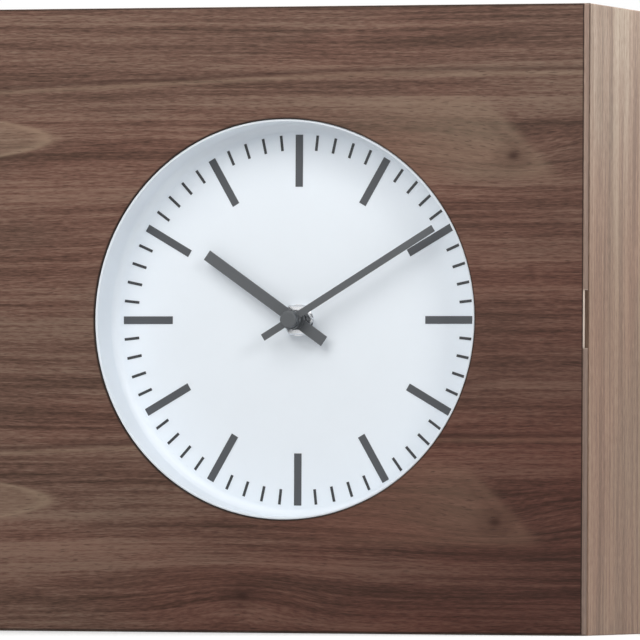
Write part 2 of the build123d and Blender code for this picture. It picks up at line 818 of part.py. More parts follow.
def dial_ring():
    """White ring that lines the hole in the door, turned about the hands' axis."""
    flange = DIAL_OPENING + FLANGE_WIDTH
    section = make_face(
        Polyline(
            (ledge_inner, dial_face),
            (ring_inner, dial_face),
            (ring_inner, lip_front),
            (ring_outer, lip_front),
            (ring_outer, door_back),
            (flange, door_back),
            (flange, flange_back),
            (ring_outer, flange_back),
            (ring_outer, ledge_back),
            (ledge_inner, ledge_back),
            close=True,
        )
    )
    section = round_corner(section, (ring_inner, dial_face), RING_CORNER)
    section = round_corner(section, (ring_inner, lip_front), LIP_ROUND)
    section = round_corner(section, (ring_outer, lip_front), LIP_ROUND)
    return cut_each(revolve(section, axis=Axis.Y), ring_screw_holes())


def dial_plate():
    """White disc flush with the ring's ledge, with a lap glued behind it."""
    face = rod(ledge_inner - PLATE_FIT, dial_face, ledge_back)
    lap = rod(ledge_inner + PLATE_LAP, ledge_back, plate_back)
    return face + lap - rod(BUSH_RADIUS + BUSH_FIT, dial_face - OVERCUT, plate_back + OVERCUT)


def dial_mark(length, width, angle):
    """Thin bar on the dial that points at its centre, degrees clockwise from twelve."""
    bar = block(span(0, width), (dial_face - MARK_THICKNESS, dial_face), (mark_reach - length, mark_reach))
    return bar.rotate(Axis.Y, angle)


def hour_marks():
    marks = []
    for index in range(HOUR_MARKS):
        marks.append(dial_mark(HOUR_MARK_LENGTH, HOUR_MARK_WIDTH, index * 360 / HOUR_MARKS))
    return marks


def minute_marks():
    marks = []
    for index in range(MINUTE_MARKS):
        if index * HOUR_MARKS % MINUTE_MARKS:
            marks.append(dial_mark(MINUTE_MARK_LENGTH, MINUTE_MARK_WIDTH, index * 360 / MINUTE_MARKS))
    return marks


def dial_washer():
    return tube(WASHER_RADIUS, BUSH_RADIUS + BUSH_FIT, nut_back, dial_face)


def dial_nut():
    hexagon = RegularPolygon(NUT_FLATS / 2, 6, major_radius=False)
    nut = slab(hexagon, nut_front, nut_back)
    nut = chamfer(nut.faces().sort_by(Axis.Y)[0].edges(), NUT_CHAMFER)
    return nut - rod(BUSH_RADIUS + HUB_FIT, nut_front - OVERCUT, nut_back + OVERCUT)


def movement_gasket():
    return tube(GASKET_RADIUS, BUSH_RADIUS + BUSH_FIT, plate_back, movement_front)


# Movement case and cover

def bearing_holes(places, front, back):
    return [rod(PIVOT_RADIUS + RUN_FIT, front, back, place) for place in places]


def movement_case():
    outside = block((-case_x, case_x), (movement_front, movement_back), (case_low, case_high))
    open_back = (movement_floor, movement_back + OVERCUT)
    case = outside - block((-bay_x, bay_x), open_back, (gear_low, gear_high))
    case = case - block((-bay_x, bay_x), open_back, (bay_low, bay_high))
    for place in post_places:
        case = case + rod(POST_RADIUS, movement_floor, movement_back, place)
    for place in board_supports + stator_supports:
        case = case + rod(SUPPORT_RADIUS, movement_floor, stator_front, place)
    case = case + rod(STUD_RADIUS, movement_floor, layer(1)[1], motion_axis)
    case = case + rod(BUSH_RADIUS, bush_front, movement_front)
    case = case - rod(HOUR_TUBE + RUN_FIT, bush_front - OVERCUT, movement_floor + OVERCUT)
    bearings = (third_axis, rotor_axis, setting_axis)
    pivots = bearing_holes(bearings, movement_floor - PIVOT_DEPTH, movement_floor)
    return cut_each(case, pivots + cover_screw_holes())


def cover_screw_places():
    return [facing((place[0], cover_back, place[1]), (0, 1, 0)) for place in post_places]


def cover_screws():
    screw = pan_screw(COVER_SCREW_HEAD, COVER_SCREW_RISE, COVER_SCREW_SHANK, COVER_SCREW_LENGTH)
    return at_each(screw, cover_screw_places())


def cover_screw_holes():
    return at_each(pan_hole(COVER_SCREW_SHANK, COVER_SCREW_LENGTH), cover_screw_places())


def movement_cover():
    cover = block((-case_x, case_x), (movement_back, cover_back), (bay_high, case_high))
    bearings = (centre_axis, third_axis, rotor_axis)
    pivots = bearing_holes(bearings, movement_back, movement_back + PIVOT_DEPTH)
    knob = rod(KNOB_ARBOR + RUN_FIT, movement_back - OVERCUT, cover_back + OVERCUT, setting_axis)
    return cut_each(cover, pivots + [knob] + cover_screw_holes())


# Wheels and arbors

def arbor(radius, place):
    """Plain arbor with a pivot at each end, running in the case and the cover."""
    body = rod(radius, movement_floor + END_SHAKE, movement_back - END_SHAKE, place)
    return body + rod(PIVOT_RADIUS, movement_floor - PIVOT_REACH, movement_back + PIVOT_REACH, place)


def minute_wheel():
    """Centre wheel and cannon pinion on the arbor that carries the minute hand."""
    wheel = rod(MINUTE_ARBOR, cap_back - CAP_THREAD, movement_back - END_SHAKE)
    wheel = wheel + rod(PIVOT_RADIUS, movement_back - OVERCUT, movement_back + PIVOT_REACH)
    wheel = wheel + gear(CANNON_TEETH, MOTION_MODULE, layer(1), centre_axis, CANNON_PHASE)
    return wheel + gear(CENTRE_TEETH, GOING_MODULE, layer(2), centre_axis)


def hour_wheel():
    """Hour wheel with the tube that carries the hour hand."""
    wheel = gear(HOUR_WHEEL_TEETH, hour_module, layer(0), centre_axis, hour_phase)
    wheel = wheel + rod(HOUR_TUBE, hour_hand_y - HUB_LENGTH / 2 - TUBE_SHOW, layer(0)[0])
    return wheel - rod(MINUTE_ARBOR + RUN_FIT, door_front, movement_back)


def motion_wheel():
    """Motion wheel and pinion turning on a stud of the case."""
    wheel = gear(MOTION_WHEEL_TEETH, MOTION_MODULE, layer(1), motion_axis, motion_wheel_phase)
    pinion = (layer(0)[0], layer(1)[0])
    wheel = wheel + gear(MOTION_PINION_TEETH, hour_module, pinion, motion_axis)
    return wheel - rod(STUD_RADIUS + RUN_FIT, movement_front, movement_back, motion_axis)


def third_wheel():
    wheel = arbor(THIRD_ARBOR, third_axis)
    wheel = wheel + gear(THIRD_PINION_TEETH, GOING_MODULE, layer(2), third_axis, third_pinion_phase)
    return wheel + gear(THIRD_WHEEL_TEETH, ROTOR_MODULE, layer(3), third_axis)


def rotor_pinion():
    pinion = arbor(ROTOR_ARBOR, rotor_axis)
    return pinion + gear(ROTOR_TEETH, ROTOR_MODULE, layer(3), rotor_axis, rotor_phase)


def rotor_magnet():
    return tube(ROTOR_MAGNET_RADIUS, ROTOR_ARBOR + HUB_FIT, *magnet_y, rotor_axis)


def setting_knob():
    """Ribbed knob behind the cover, with the pinion that turns the motion wheel."""
    knob = rod(PIVOT_RADIUS, movement_floor - PIVOT_REACH, movement_floor + OVERCUT, setting_axis)
    knob = knob + rod(KNOB_ARBOR, movement_floor + END_SHAKE, knob_front, setting_axis)
    knob = knob + gear(SETTING_TEETH, MOTION_MODULE, layer(1), setting_axis, setting_phase)
    grip = rod(KNOB_RADIUS, knob_front, knob_front + KNOB_THICKNESS, setting_axis)
    for index in range(KNOB_RIBS):
        place = polar(setting_axis, KNOB_RADIUS, index * 360 / KNOB_RIBS)
        grip = grip - rod(KNOB_RIB_DEPTH, knob_front - OVERCUT, knob_front + KNOB_THICKNESS + OVERCUT, place)
    return knob + grip


# Hands

def bar_hand(length, tail, width, hub, bore, y, angle):
    """Square-ended bar hand with a round hub, turned to the time it shows."""
    bar = block(span(0, width), span(y, HAND_THICKNESS), (-tail, length))
    hand = bar + rod(hub, y - HUB_LENGTH / 2, y + HUB_LENGTH / 2)
    hand = hand - rod(bore + HUB_FIT, door_front, dial_face)
    return Rot(0, angle, 0) * hand


def minute_hand():
    return bar_hand(
        MINUTE_HAND_LENGTH, MINUTE_HAND_TAIL, MINUTE_HAND_WIDTH, MINUTE_HUB,
        MINUTE_ARBOR, minute_hand_y, MINUTE_HAND_ANGLE,
    )


def hour_hand():
    return bar_hand(
        HOUR_HAND_LENGTH, HOUR_HAND_TAIL, HOUR_HAND_WIDTH, HOUR_HUB,
        HOUR_TUBE, hour_hand_y, hour_hand_angle,
    )


def minute_cap():
    """Cap nut that holds the minute hand on its arbor."""
    cap = rod(CAP_RADIUS, cap_front, cap_back)
    cap = fillet(cap.edges().sort_by(Axis.Y)[0], CAP_ROUND)
    return cap - rod(MINUTE_ARBOR + HUB_FIT, cap_back - CAP_THREAD - HUB_FIT, cap_back + OVERCUT)


# Motor, circuit and battery

def stator_plate():
    thick = (stator_front, stator_back)
    plate = block(span(rotor_axis[0], STATOR_LENGTH), thick, span(rotor_axis[1], STATOR_WIDTH))
    for side in (-1, 1):
        lug = span(rotor_axis[0] + side * lug_x, LUG_WIDTH)
        plate = plate + block(lug, thick, (rotor_axis[1], coil_z + CORE_WIDTH / 2))
    hole = ROTOR_MAGNET_RADIUS + AIR_GAP
    return plate - rod(hole, stator_front - OVERCUT, stator_back + OVERCUT, rotor_axis)


def coil_core():
    thick = (stator_back, stator_back + CORE_THICKNESS)
    return block(span(rotor_axis[0], STATOR_LENGTH), thick, span(coil_z, CORE_WIDTH))


def coil_bobbin():
    left = rotor_axis[0] - coil_half
    right = rotor_axis[0] + coil_half
    bobbin = crosswise(BOBBIN_RADIUS, left, right, core_y, coil_z)
    bobbin = bobbin + crosswise(COIL_RADIUS, left, left + BOBBIN_FLANGE, core_y, coil_z)
    bobbin = bobbin + crosswise(COIL_RADIUS, right - BOBBIN_FLANGE, right, core_y, coil_z)
    room = span(core_y, CORE_THICKNESS + 2 * HUB_FIT)
    return bobbin - block((left - OVERCUT, right + OVERCUT), room, span(coil_z, CORE_WIDTH + 2 * HUB_FIT))


def coil_winding():
    left = rotor_axis[0] - coil_half + BOBBIN_FLANGE
    right = rotor_axis[0] + coil_half - BOBBIN_FLANGE
    winding = crosswise(COIL_RADIUS - COIL_INSET, left, right, core_y, coil_z)
    return winding - crosswise(BOBBIN_RADIUS, left - OVERCUT, right + OVERCUT, core_y, coil_z)


def circuit_board():
    thick = (stator_front, stator_front + BOARD_THICKNESS)
    return block((board_left, board_right), thick, (board_low, board_high))


def driver_chip():
    x = (board_left + board_right) / 2
    z = (board_low + board_high) / 2
    back = stator_front + BOARD_THICKNESS
    return block(span(x, CHIP_SIZE), (back, back + CHIP_THICKNESS), span(z, CHIP_SIZE))


def quartz_crystal():
    x = board_left + CHIP_SIZE
    y = stator_front + BOARD_THICKNESS + CRYSTAL_RADIUS
    z = (board_low + board_high) / 2
    return upright(CRYSTAL_RADIUS, z - CRYSTAL_LENGTH / 2, z + CRYSTAL_LENGTH / 2, x, y)


def battery_cell():
    left = -BATTERY_LENGTH / 2
    shoulder = BATTERY_LENGTH / 2 - BATTERY_NUB
    cell = crosswise(BATTERY_DIAMETER / 2, left, shoulder, battery_y, battery_z)
    cell = fillet(cell.edges(), EDGE_ROUND)
    return cell + crosswise(BATTERY_NUB_RADIUS, shoulder, BATTERY_LENGTH / 2, battery_y, battery_z)


def battery_contact(side):
    """Sprung contact plate with a dimple that meets one end of the cell."""
    ends = sorted((side * (bay_x - CONTACT_THICKNESS), side * bay_x))
    plate = block(ends, span(battery_y, CONTACT_WIDTH), span(battery_z, CONTACT_WIDTH))
    reach = sorted((side * (BATTERY_LENGTH / 2 + CONTACT_FIT), side * (bay_x - CONTACT_THICKNESS)))
    return plate + crosswise(CONTACT_DIMPLE, *reach, battery_y, battery_z)


NODES = {
    "side_panel_left": side_panel_left,
    "side_panel_right": side_panel_right,
    "top_panel": lambda: level_board(1),
    "bottom_panel": lambda: level_board(-1),
    "back_panel": back_panel,
    "back_panel_screws": back_screws,
    "corner_dowels": corner_dowels,
    "hook_rail": hook_rail,
    "hook_rail_screws": rail_screws,
    "key_hooks": key_hooks,
    "catch_housing": catch_housing,
    "catch_magnet": catch_magnet,
    "catch_screws": catch_screws,
    "door_bumpers": door_bumpers,
    "hinge_leaves_cabinet": hinge_leaves_cabinet,
    "hinge_screws_cabinet": lambda: hinge_screws(cabinet_leaf_y[0], (0, -1, 0)),
    "hinge_pins": hinge_pins,
    "door_panel": door_panel,
    "hinge_leaves_door": hinge_leaves_door,
    "hinge_screws_door": lambda: hinge_screws(door_leaf_y[1], (0, 1, 0)),
    "strike_plate": strike_plate,
    "strike_screws": strike_screws,
    "dial_ring": dial_ring,
    "ring_screws": ring_screws,
    "dial_plate": dial_plate,
    "hour_marks": hour_marks,
    "minute_marks": minute_marks,
    "dial_washer": dial_washer,
    "dial_nut": dial_nut,
    "movement_gasket": movement_gasket,
    "movement_case": movement_case,
    "movement_cover": movement_cover,
    "cover_screws": cover_screws,
    "minute_wheel": minute_wheel,
    "minute_hand": minute_hand,
    "minute_cap": minute_cap,
    "hour_wheel": hour_wheel,
    "hour_hand": hour_hand,
    "motion_wheel": motion_wheel,
    "third_wheel": third_wheel,
    "rotor_pinion": rotor_pinion,
    "rotor_magnet": rotor_magnet,
    "setting_knob": setting_knob,
    "stator_plate": stator_plate,
    "coil_core": coil_core,
    "coil_bobbin": coil_bobbin,
    "coil_winding": coil_winding,
    "circuit_board": circuit_board,
    "driver_chip": driver_chip,
    "quartz_crystal": quartz_crystal,
    "battery_cell": battery_cell,
    "battery_contact_plus": lambda: battery_contact(1),
    "battery_contact_minus": lambda: battery_contact(-1),
}

for name, make in NODES.items():
    shape = make()
    if isinstance(shape, list):
        shape = Compound(children=shape)
    export_step(shape, f"parts/{name}.step")
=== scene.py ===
import math

import bpy
from mathutils import Matrix, Vector


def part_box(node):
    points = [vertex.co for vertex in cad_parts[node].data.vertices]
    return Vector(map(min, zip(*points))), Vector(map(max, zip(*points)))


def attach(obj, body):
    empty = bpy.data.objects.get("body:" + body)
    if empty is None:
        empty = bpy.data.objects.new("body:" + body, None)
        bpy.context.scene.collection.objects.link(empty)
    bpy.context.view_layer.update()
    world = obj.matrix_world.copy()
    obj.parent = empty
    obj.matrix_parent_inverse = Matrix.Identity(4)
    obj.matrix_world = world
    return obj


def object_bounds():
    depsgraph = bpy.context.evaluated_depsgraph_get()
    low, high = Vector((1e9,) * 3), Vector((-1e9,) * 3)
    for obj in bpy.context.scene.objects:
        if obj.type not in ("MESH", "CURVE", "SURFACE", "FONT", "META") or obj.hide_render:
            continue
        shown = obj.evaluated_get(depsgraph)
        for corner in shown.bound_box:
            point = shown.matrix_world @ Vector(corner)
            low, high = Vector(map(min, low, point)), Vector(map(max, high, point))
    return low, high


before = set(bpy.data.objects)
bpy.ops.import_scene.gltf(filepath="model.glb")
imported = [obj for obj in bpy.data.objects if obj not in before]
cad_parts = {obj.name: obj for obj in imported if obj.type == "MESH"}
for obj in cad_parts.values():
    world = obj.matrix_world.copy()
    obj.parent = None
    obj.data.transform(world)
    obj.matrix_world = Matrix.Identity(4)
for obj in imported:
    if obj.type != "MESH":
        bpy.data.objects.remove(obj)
cad_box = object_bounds()

# Lengths are in metres, and the camera's lens is in millimetres.
# X runs right, Z up, and the clock's front faces -Y.

# Camera, at the angle from which the clock was photographed
CAMERA_TURN = math.radians(18.65)
CAMERA_RISE = math.radians(-1.0)
CAMERA_ROLL = math.radians(0.28)
CAMERA_DISTANCE = 5.0
CAMERA_AIM_RIGHT = 0.0186
CAMERA_AIM_UP = -0.0004
CAMERA_LENS = 589.5
CAMERA_REACH = 50.0

# Floor, which looks whiter far from the clock than near it
WHITE = (1, 1, 1)
FLOOR_SIZE = 8.0
FLOOR_PALE = (0.66, 0.66, 0.66)
FLOOR_DULL = (0.62, 0.62, 0.62)
FLOOR_ROUGH = 0.9
FLOOR_CLOUD = 0.5
FLOOR_GLOW = 0.30
FLOOR_FAR_GLOW = 0.75
FLOOR_NEAR = 0.6
FLOOR_FAR = 2.5

# Lamps, and the soft light from all round
WORLD_COLOUR = (0.95, 0.975, 1.0)
WORLD_LEVEL = 0.24
WORLD_LOW_SHARE = 0.5
LAMP_COLOUR = (1.0, 0.985, 0.96)
LAMPS = {
    "key_lamp": {"place": (-0.09, -0.62, 0.40), "size": 0.50, "power": 2.58},
    "fill_lamp": {"place": (1.50, -1.30, 0.85), "size": 0.6, "power": 9.2},
    "side_lamp": {"place": (0.34, 0.03, 0.42), "size": 0.18, "power": 2.15},
}

# Noise where a finish asks for nothing else, its middle value, and how straight a face looks along an axis
NOISE_DETAIL = 2
NOISE_ROUGHNESS = 0.5
NOISE_MIDDLE_SHARE = 0.5
FACING_SHARE = 0.7

# Wood grain: how long and how high its marks are along and across the fibres, and the noise they come from
GRAIN_WARP = {"length": 0.28, "height": 0.09, "layer": 0, "detail": 1, "roughness": 0.5}
GRAIN_MARKS = {
    "bands": {"length": 0.30, "height": 0.018, "layer": 8, "detail": 3, "roughness": 0.55},
    "threads": {"length": 0.22, "height": 0.0026, "layer": 5, "detail": 3, "roughness": 0.6},
    "streaks": {"length": 0.020, "height": 0.0013, "layer": 2, "detail": 4, "roughness": 0.6},
    "fibres": {"length": 0.0045, "height": 0.0006, "layer": 3, "detail": 2, "roughness": 0.5},
    "hues": {"length": 0.14, "height": 0.045, "layer": 6, "detail": 2, "roughness": 0.5},
    "pores": {"length": 0.006, "height": 0.0005, "layer": 4, "detail": 1, "roughness": 0.5},
}
WARP_LIFT = 0.010
PORE_DEPTH = 0.00005
TONE_SHARES = {"bands": 0.34, "threads": 0.26, "streaks": 0.20, "fibres": 0.20}
TONE_SPAN_SHARES = (0.37, 0.63)
HUE_SPAN_SHARES = (0.35, 0.65)
PORE_SPAN_SHARES = (0.60, 0.72)
FIBRE_RELIEF_SHARE = 0.4

# Figure of the door's veneer, which repeats up the board
# Places run along X and up from the repeat's foot, and each patch lies further right than the one below it
VENEER_REPEAT = 0.174
VENEER_FOOT = 0.020
TONGUE_TIP = -0.115
TONGUE_UP = 0.067
TONGUE_REACH = 0.029
TONGUE_HALF_HEIGHT = 0.0088
TONGUE_RIM = 0.0055
PATCH_TOP = 0.086
PATCH_FOOT = 0.0455
PATCH_TIP = 0.129
PATCH_TIP_UP = 0.058
PATCH_SLANT = math.radians(45)
PATCH_LEFT = -0.02
PATCH_ROUND = 0.012
PATCH_RIM = 0.003
PATCH_FADE = 0.012
PATCH_SLIP = 0.0085
SMALL_KNOT = (0.115, 0.0575)
SMALL_KNOT_SIZE = (0.0040, 0.0028)
LARGE_KNOT = (-0.020, 0.022)
LARGE_KNOT_SIZE = (0.0042, 0.0028)
KNOT_RING_SHARE = 1.9
KNOT_RING_WIDTH_SHARE = 0.8
KNOT_RING_DARK_SHARE = 0.25
KNOT_SWEEP = (0.040, 0.014)
KNOT_LIFT = 0.008
PALE_LINE_UP = 0.0965
PALE_LINE_SLOPE = 0.041
PALE_LINE_BEND = 0.03
PALE_LINE_WIDTH = 0.0011
DARK_LINE_RISE = 0.0024
PALE_SHARES = {"tongue": 0.26, "tongue_rim": 0.36, "patch_rim": 0.32, "patch": 0.46, "line": 0.32}
# The edge and opening shares set how dark the painted shade is along the door's edges and in its round
# opening
DARK_SHARES = {"small_knot": 0.85, "large_knot": 0.9, "line": 0.45, "edge": 0.9, "opening": 0.88}

# Door edges, with painted shade in a dark line round the face and on the rim and wall of the round opening
OPENING_RADIUS = 0.096
PAINTED_OPENING_SHADE_END = 0.0009
PAINTED_EDGE_SHADE_START = 0.0003
PAINTED_EDGE_SHADE_END = 0.0011
PAINTED_EDGE_SHADE = (0.013, 0.008, 0.006)
EDGE_DEPTH = 0.001
EDGE_TINT = (0.81, 0.86, 0.91)
PULL_HALF_HEIGHT = 0.0137
PULL_FADE = 0.0008
PULL_WORN = (0.62, 0.51, 0.43)

# Walnut veneer of the door: dark, middle and light tone, how hue drifts over the door, and painted light
# and shade that make the door lighter towards its top left and darker towards its bottom right
FRONT_TONES = ((0.0667, 0.0266, 0.0174), (0.172, 0.068, 0.0495), (0.277, 0.133, 0.097))
FRONT_PALE = (0.367, 0.190, 0.132)
FRONT_PORE = (0.030, 0.014, 0.010)
FRONT_KNOT = (0.030, 0.0115, 0.0075)
FRONT_PORE_SHARE = 0.5
FRONT_ROUGH = 0.48
FRONT_ROUGH_SPREAD = 0.10
OLIVE_TINT = (0.84, 1.16, 1.18)
OLIVE_HUE_SHARE = 0.4
OLIVE_DRIFT = {"at_centre": 0.54, "right": -1.7, "up": 2.1, "twist": 15.6}
PAINTED_SHADE_DRIFT = {"at_centre": 0.85, "right": -0.98, "up": 1.15, "twist": 6.2}

# Plain woods: dark, middle and light tone, pores and roughness
CASE_WALNUT = {
    "tones": ((0.163, 0.096, 0.0665), (0.288, 0.179, 0.129), (0.417, 0.286, 0.211)),
    "pore": (0.132, 0.077, 0.055),
    "rough": 0.48,
}
BACK_BOARD = {
    "tones": ((0.135, 0.085, 0.055), (0.20, 0.132, 0.088), (0.27, 0.185, 0.125)),
    "pore": (0.135, 0.085, 0.055),
    "rough": 0.6,
}
BEECH = {
    "tones": ((0.36, 0.225, 0.125), (0.48, 0.32, 0.19), (0.60, 0.43, 0.28)),
    "pore": (0.36, 0.225, 0.125),
    "rough": 0.5,
}

# Olive cast, pores and gloss of the plain woods, and painted sheen that makes the case paler and cooler
# towards its top
WOOD_TINT = (0.92, 1.04, 1.05)
WOOD_HUE_SHARE = 0.6
WOOD_PORE_SHARE = 0.45
WOOD_ROUGH_SPREAD = 0.12
WOOD_SPECULAR = 0.15
PAINTED_SHEEN_TINT = (1.09, 1.26, 1.38)
PAINTED_SHEEN_FOOT = -0.02
PAINTED_SHEEN_TOP = 0.15

# Skin of moulded and painted pieces: fine grain, slow drift of tone, and smudges
SKIN_GRAIN = 0.0004
SKIN_DEPTH = 0.00002
SKIN_DETAIL = 1
SKIN_TONE_SHARES = {"drift": 0.7, "grain": 0.3}
SKIN_SPAN_SHARES = (0.25, 0.75)
SKIN_ROUGH_SPREAD = 0.08
DRIFT_SIZE = 0.030
SMUDGE_SIZE = 0.012
SMUDGE_DETAIL = 4
SMUDGE_ROUGHNESS = 0.6
SMUDGE_SPAN_SHARES = (0.4, 0.7)
SMUDGE_ROUGH_SPREAD = 0.10

# Moulded and painted finishes: the skin's depth and the tone's spread are shares
MOULDINGS = {
    "dial_white": {
        "colour": (0.825, 0.88, 0.94), "rough": 0.45, "depth_share": 0.5, "spread_share": 0.015,
        "pieces": ("dial_ring", "dial_plate"),
    },
    "hand_grey": {
        "colour": (0.083, 0.090, 0.098), "rough": 0.42, "depth_share": 0.5, "spread_share": 0.08,
        "pieces": ("minute_hand", "minute_cap", "hour_hand"),
    },
    "mark_grey": {
        "colour": (0.062, 0.067, 0.075), "rough": 0.5, "depth_share": 0.5, "spread_share": 0.08,
        "pieces": ("hour_marks",),
    },
    "tick_grey": {
        "colour": (0.028, 0.030, 0.034), "rough": 0.5, "depth_share": 0.5, "spread_share": 0.08,
        "pieces": ("minute_marks",),
    },
    "case_black": {
        "colour": (0.014, 0.014, 0.015), "rough": 0.42, "depth_share": 2.0, "spread_share": 0.2,
        "pieces": ("movement_case", "catch_housing"),
    },
    "cover_grey": {
        "colour": (0.045, 0.046, 0.049), "rough": 0.45, "depth_share": 2.0, "spread_share": 0.15,
        "pieces": ("movement_cover", "setting_knob"),
    },
    "wheel_white": {
        "colour": (0.74, 0.72, 0.64), "rough": 0.38, "depth_share": 1.0, "spread_share": 0.08,
        "pieces": ("hour_wheel", "motion_wheel", "third_wheel", "rotor_pinion", "coil_bobbin"),
    },
    "rubber": {
        "colour": (0.018, 0.018, 0.019), "rough": 0.8, "depth_share": 2.0, "spread_share": 0.2,
        "pieces": ("door_bumpers", "movement_gasket"),
    },
    "chip_black": {
        "colour": (0.010, 0.010, 0.011), "rough": 0.3, "depth_share": 1.0, "spread_share": 0.08,
        "pieces": ("driver_chip",),
    },
}

# Metals, with fine lines along X
LINE_LENGTH = 0.020
LINE_HEIGHT = 0.00025
LINE_DEPTH = 0.000008
LINE_DETAIL = 3
LINE_SPAN_SHARES = (0.3, 0.7)
LINE_TONE_SHARES = (0.86, 1.08)
METALS = {
    "zinc_steel": {
        "colour": (0.56, 0.57, 0.58), "rough": 0.36,
        "pieces": (
            "back_panel_screws", "hook_rail_screws", "catch_screws", "cover_screws", "ring_screws",
            "hinge_leaves_cabinet", "hinge_screws_cabinet", "hinge_leaves_door", "hinge_screws_door",
            "hinge_pins", "strike_plate", "strike_screws", "stator_plate", "coil_core", "quartz_crystal",
            "battery_contact_plus", "battery_contact_minus",
        ),
    },
    "nickel": {
        "colour": (0.72, 0.73, 0.75), "rough": 0.18,
        "pieces": ("key_hooks", "dial_washer", "dial_nut"),
    },
    "brass": {"colour": (0.72, 0.50, 0.19), "rough": 0.30, "pieces": ("minute_wheel",)},
    "ferrite": {"colour": (0.10, 0.10, 0.11), "rough": 0.55, "pieces": ("catch_magnet", "rotor_magnet")},
}

# Coil wire
COPPER = (0.60, 0.27, 0.14)
WIRE_PITCH = 0.0004
WIRE_DEPTH = 0.00008
WIRE_DARK_SHARE = 0.5
WIRE_ROUGH = 0.28
WIRE_ROUGH_SPREAD = 0.12

# Sleeve of the battery cell
SLEEVE_BLUE = (0.050, 0.085, 0.130)
SLEEVE_BAND = (0.60, 0.62, 0.64)
SLEEVE_END = 0.0022
SLEEVE_BAND_WIDTH = 0.009
SLEEVE_SMUDGE_SHARE = 0.15
SLEEVE_SMUDGE_DARK_SHARE = 0.5
SLEEVE_ROUGH = 0.30

# Circuit board, with tracks under its lacquer
LACQUER_GREEN = (0.012, 0.085, 0.035)
LACQUER_ROUGH = 0.25
TRACK_PITCH = 0.0032
TRACK_SPAN_SHARES = (0.30, 0.36)
TRACK_PALE_SHARE = 0.5
TRACK_LIGHT_SHARE = 2.2

# Signs moulded on the movement's cover, for the cell's poles and for the way the knob turns
SIGN_RAISE = 0.0002
SIGN_WIDTH = 0.0009
SIGN_ARM = 0.0015
SIGN_ROUND = 0.00006
SIGN_ROUND_STEPS = 2
SIGN_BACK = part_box("movement_cover")[1].y + SIGN_RAISE - SIGN_WIDTH / 2
POLE_ACROSS = 0.018
POLE_UP = -0.0078
ARROW_RADIUS = 0.0070
ARROW_TURN = math.radians(100)
ARROW_STEPS = 24
ARROW_HEAD = 0.0022
ARROW_FLARE_SHARE = 2.4
ARROW_TIP_SHARE = 0.1
LEFT, RIGHT, UP, DOWN = (-1, 0, 0), (1, 0, 0), (0, 0, 1), (0, 0, -1)


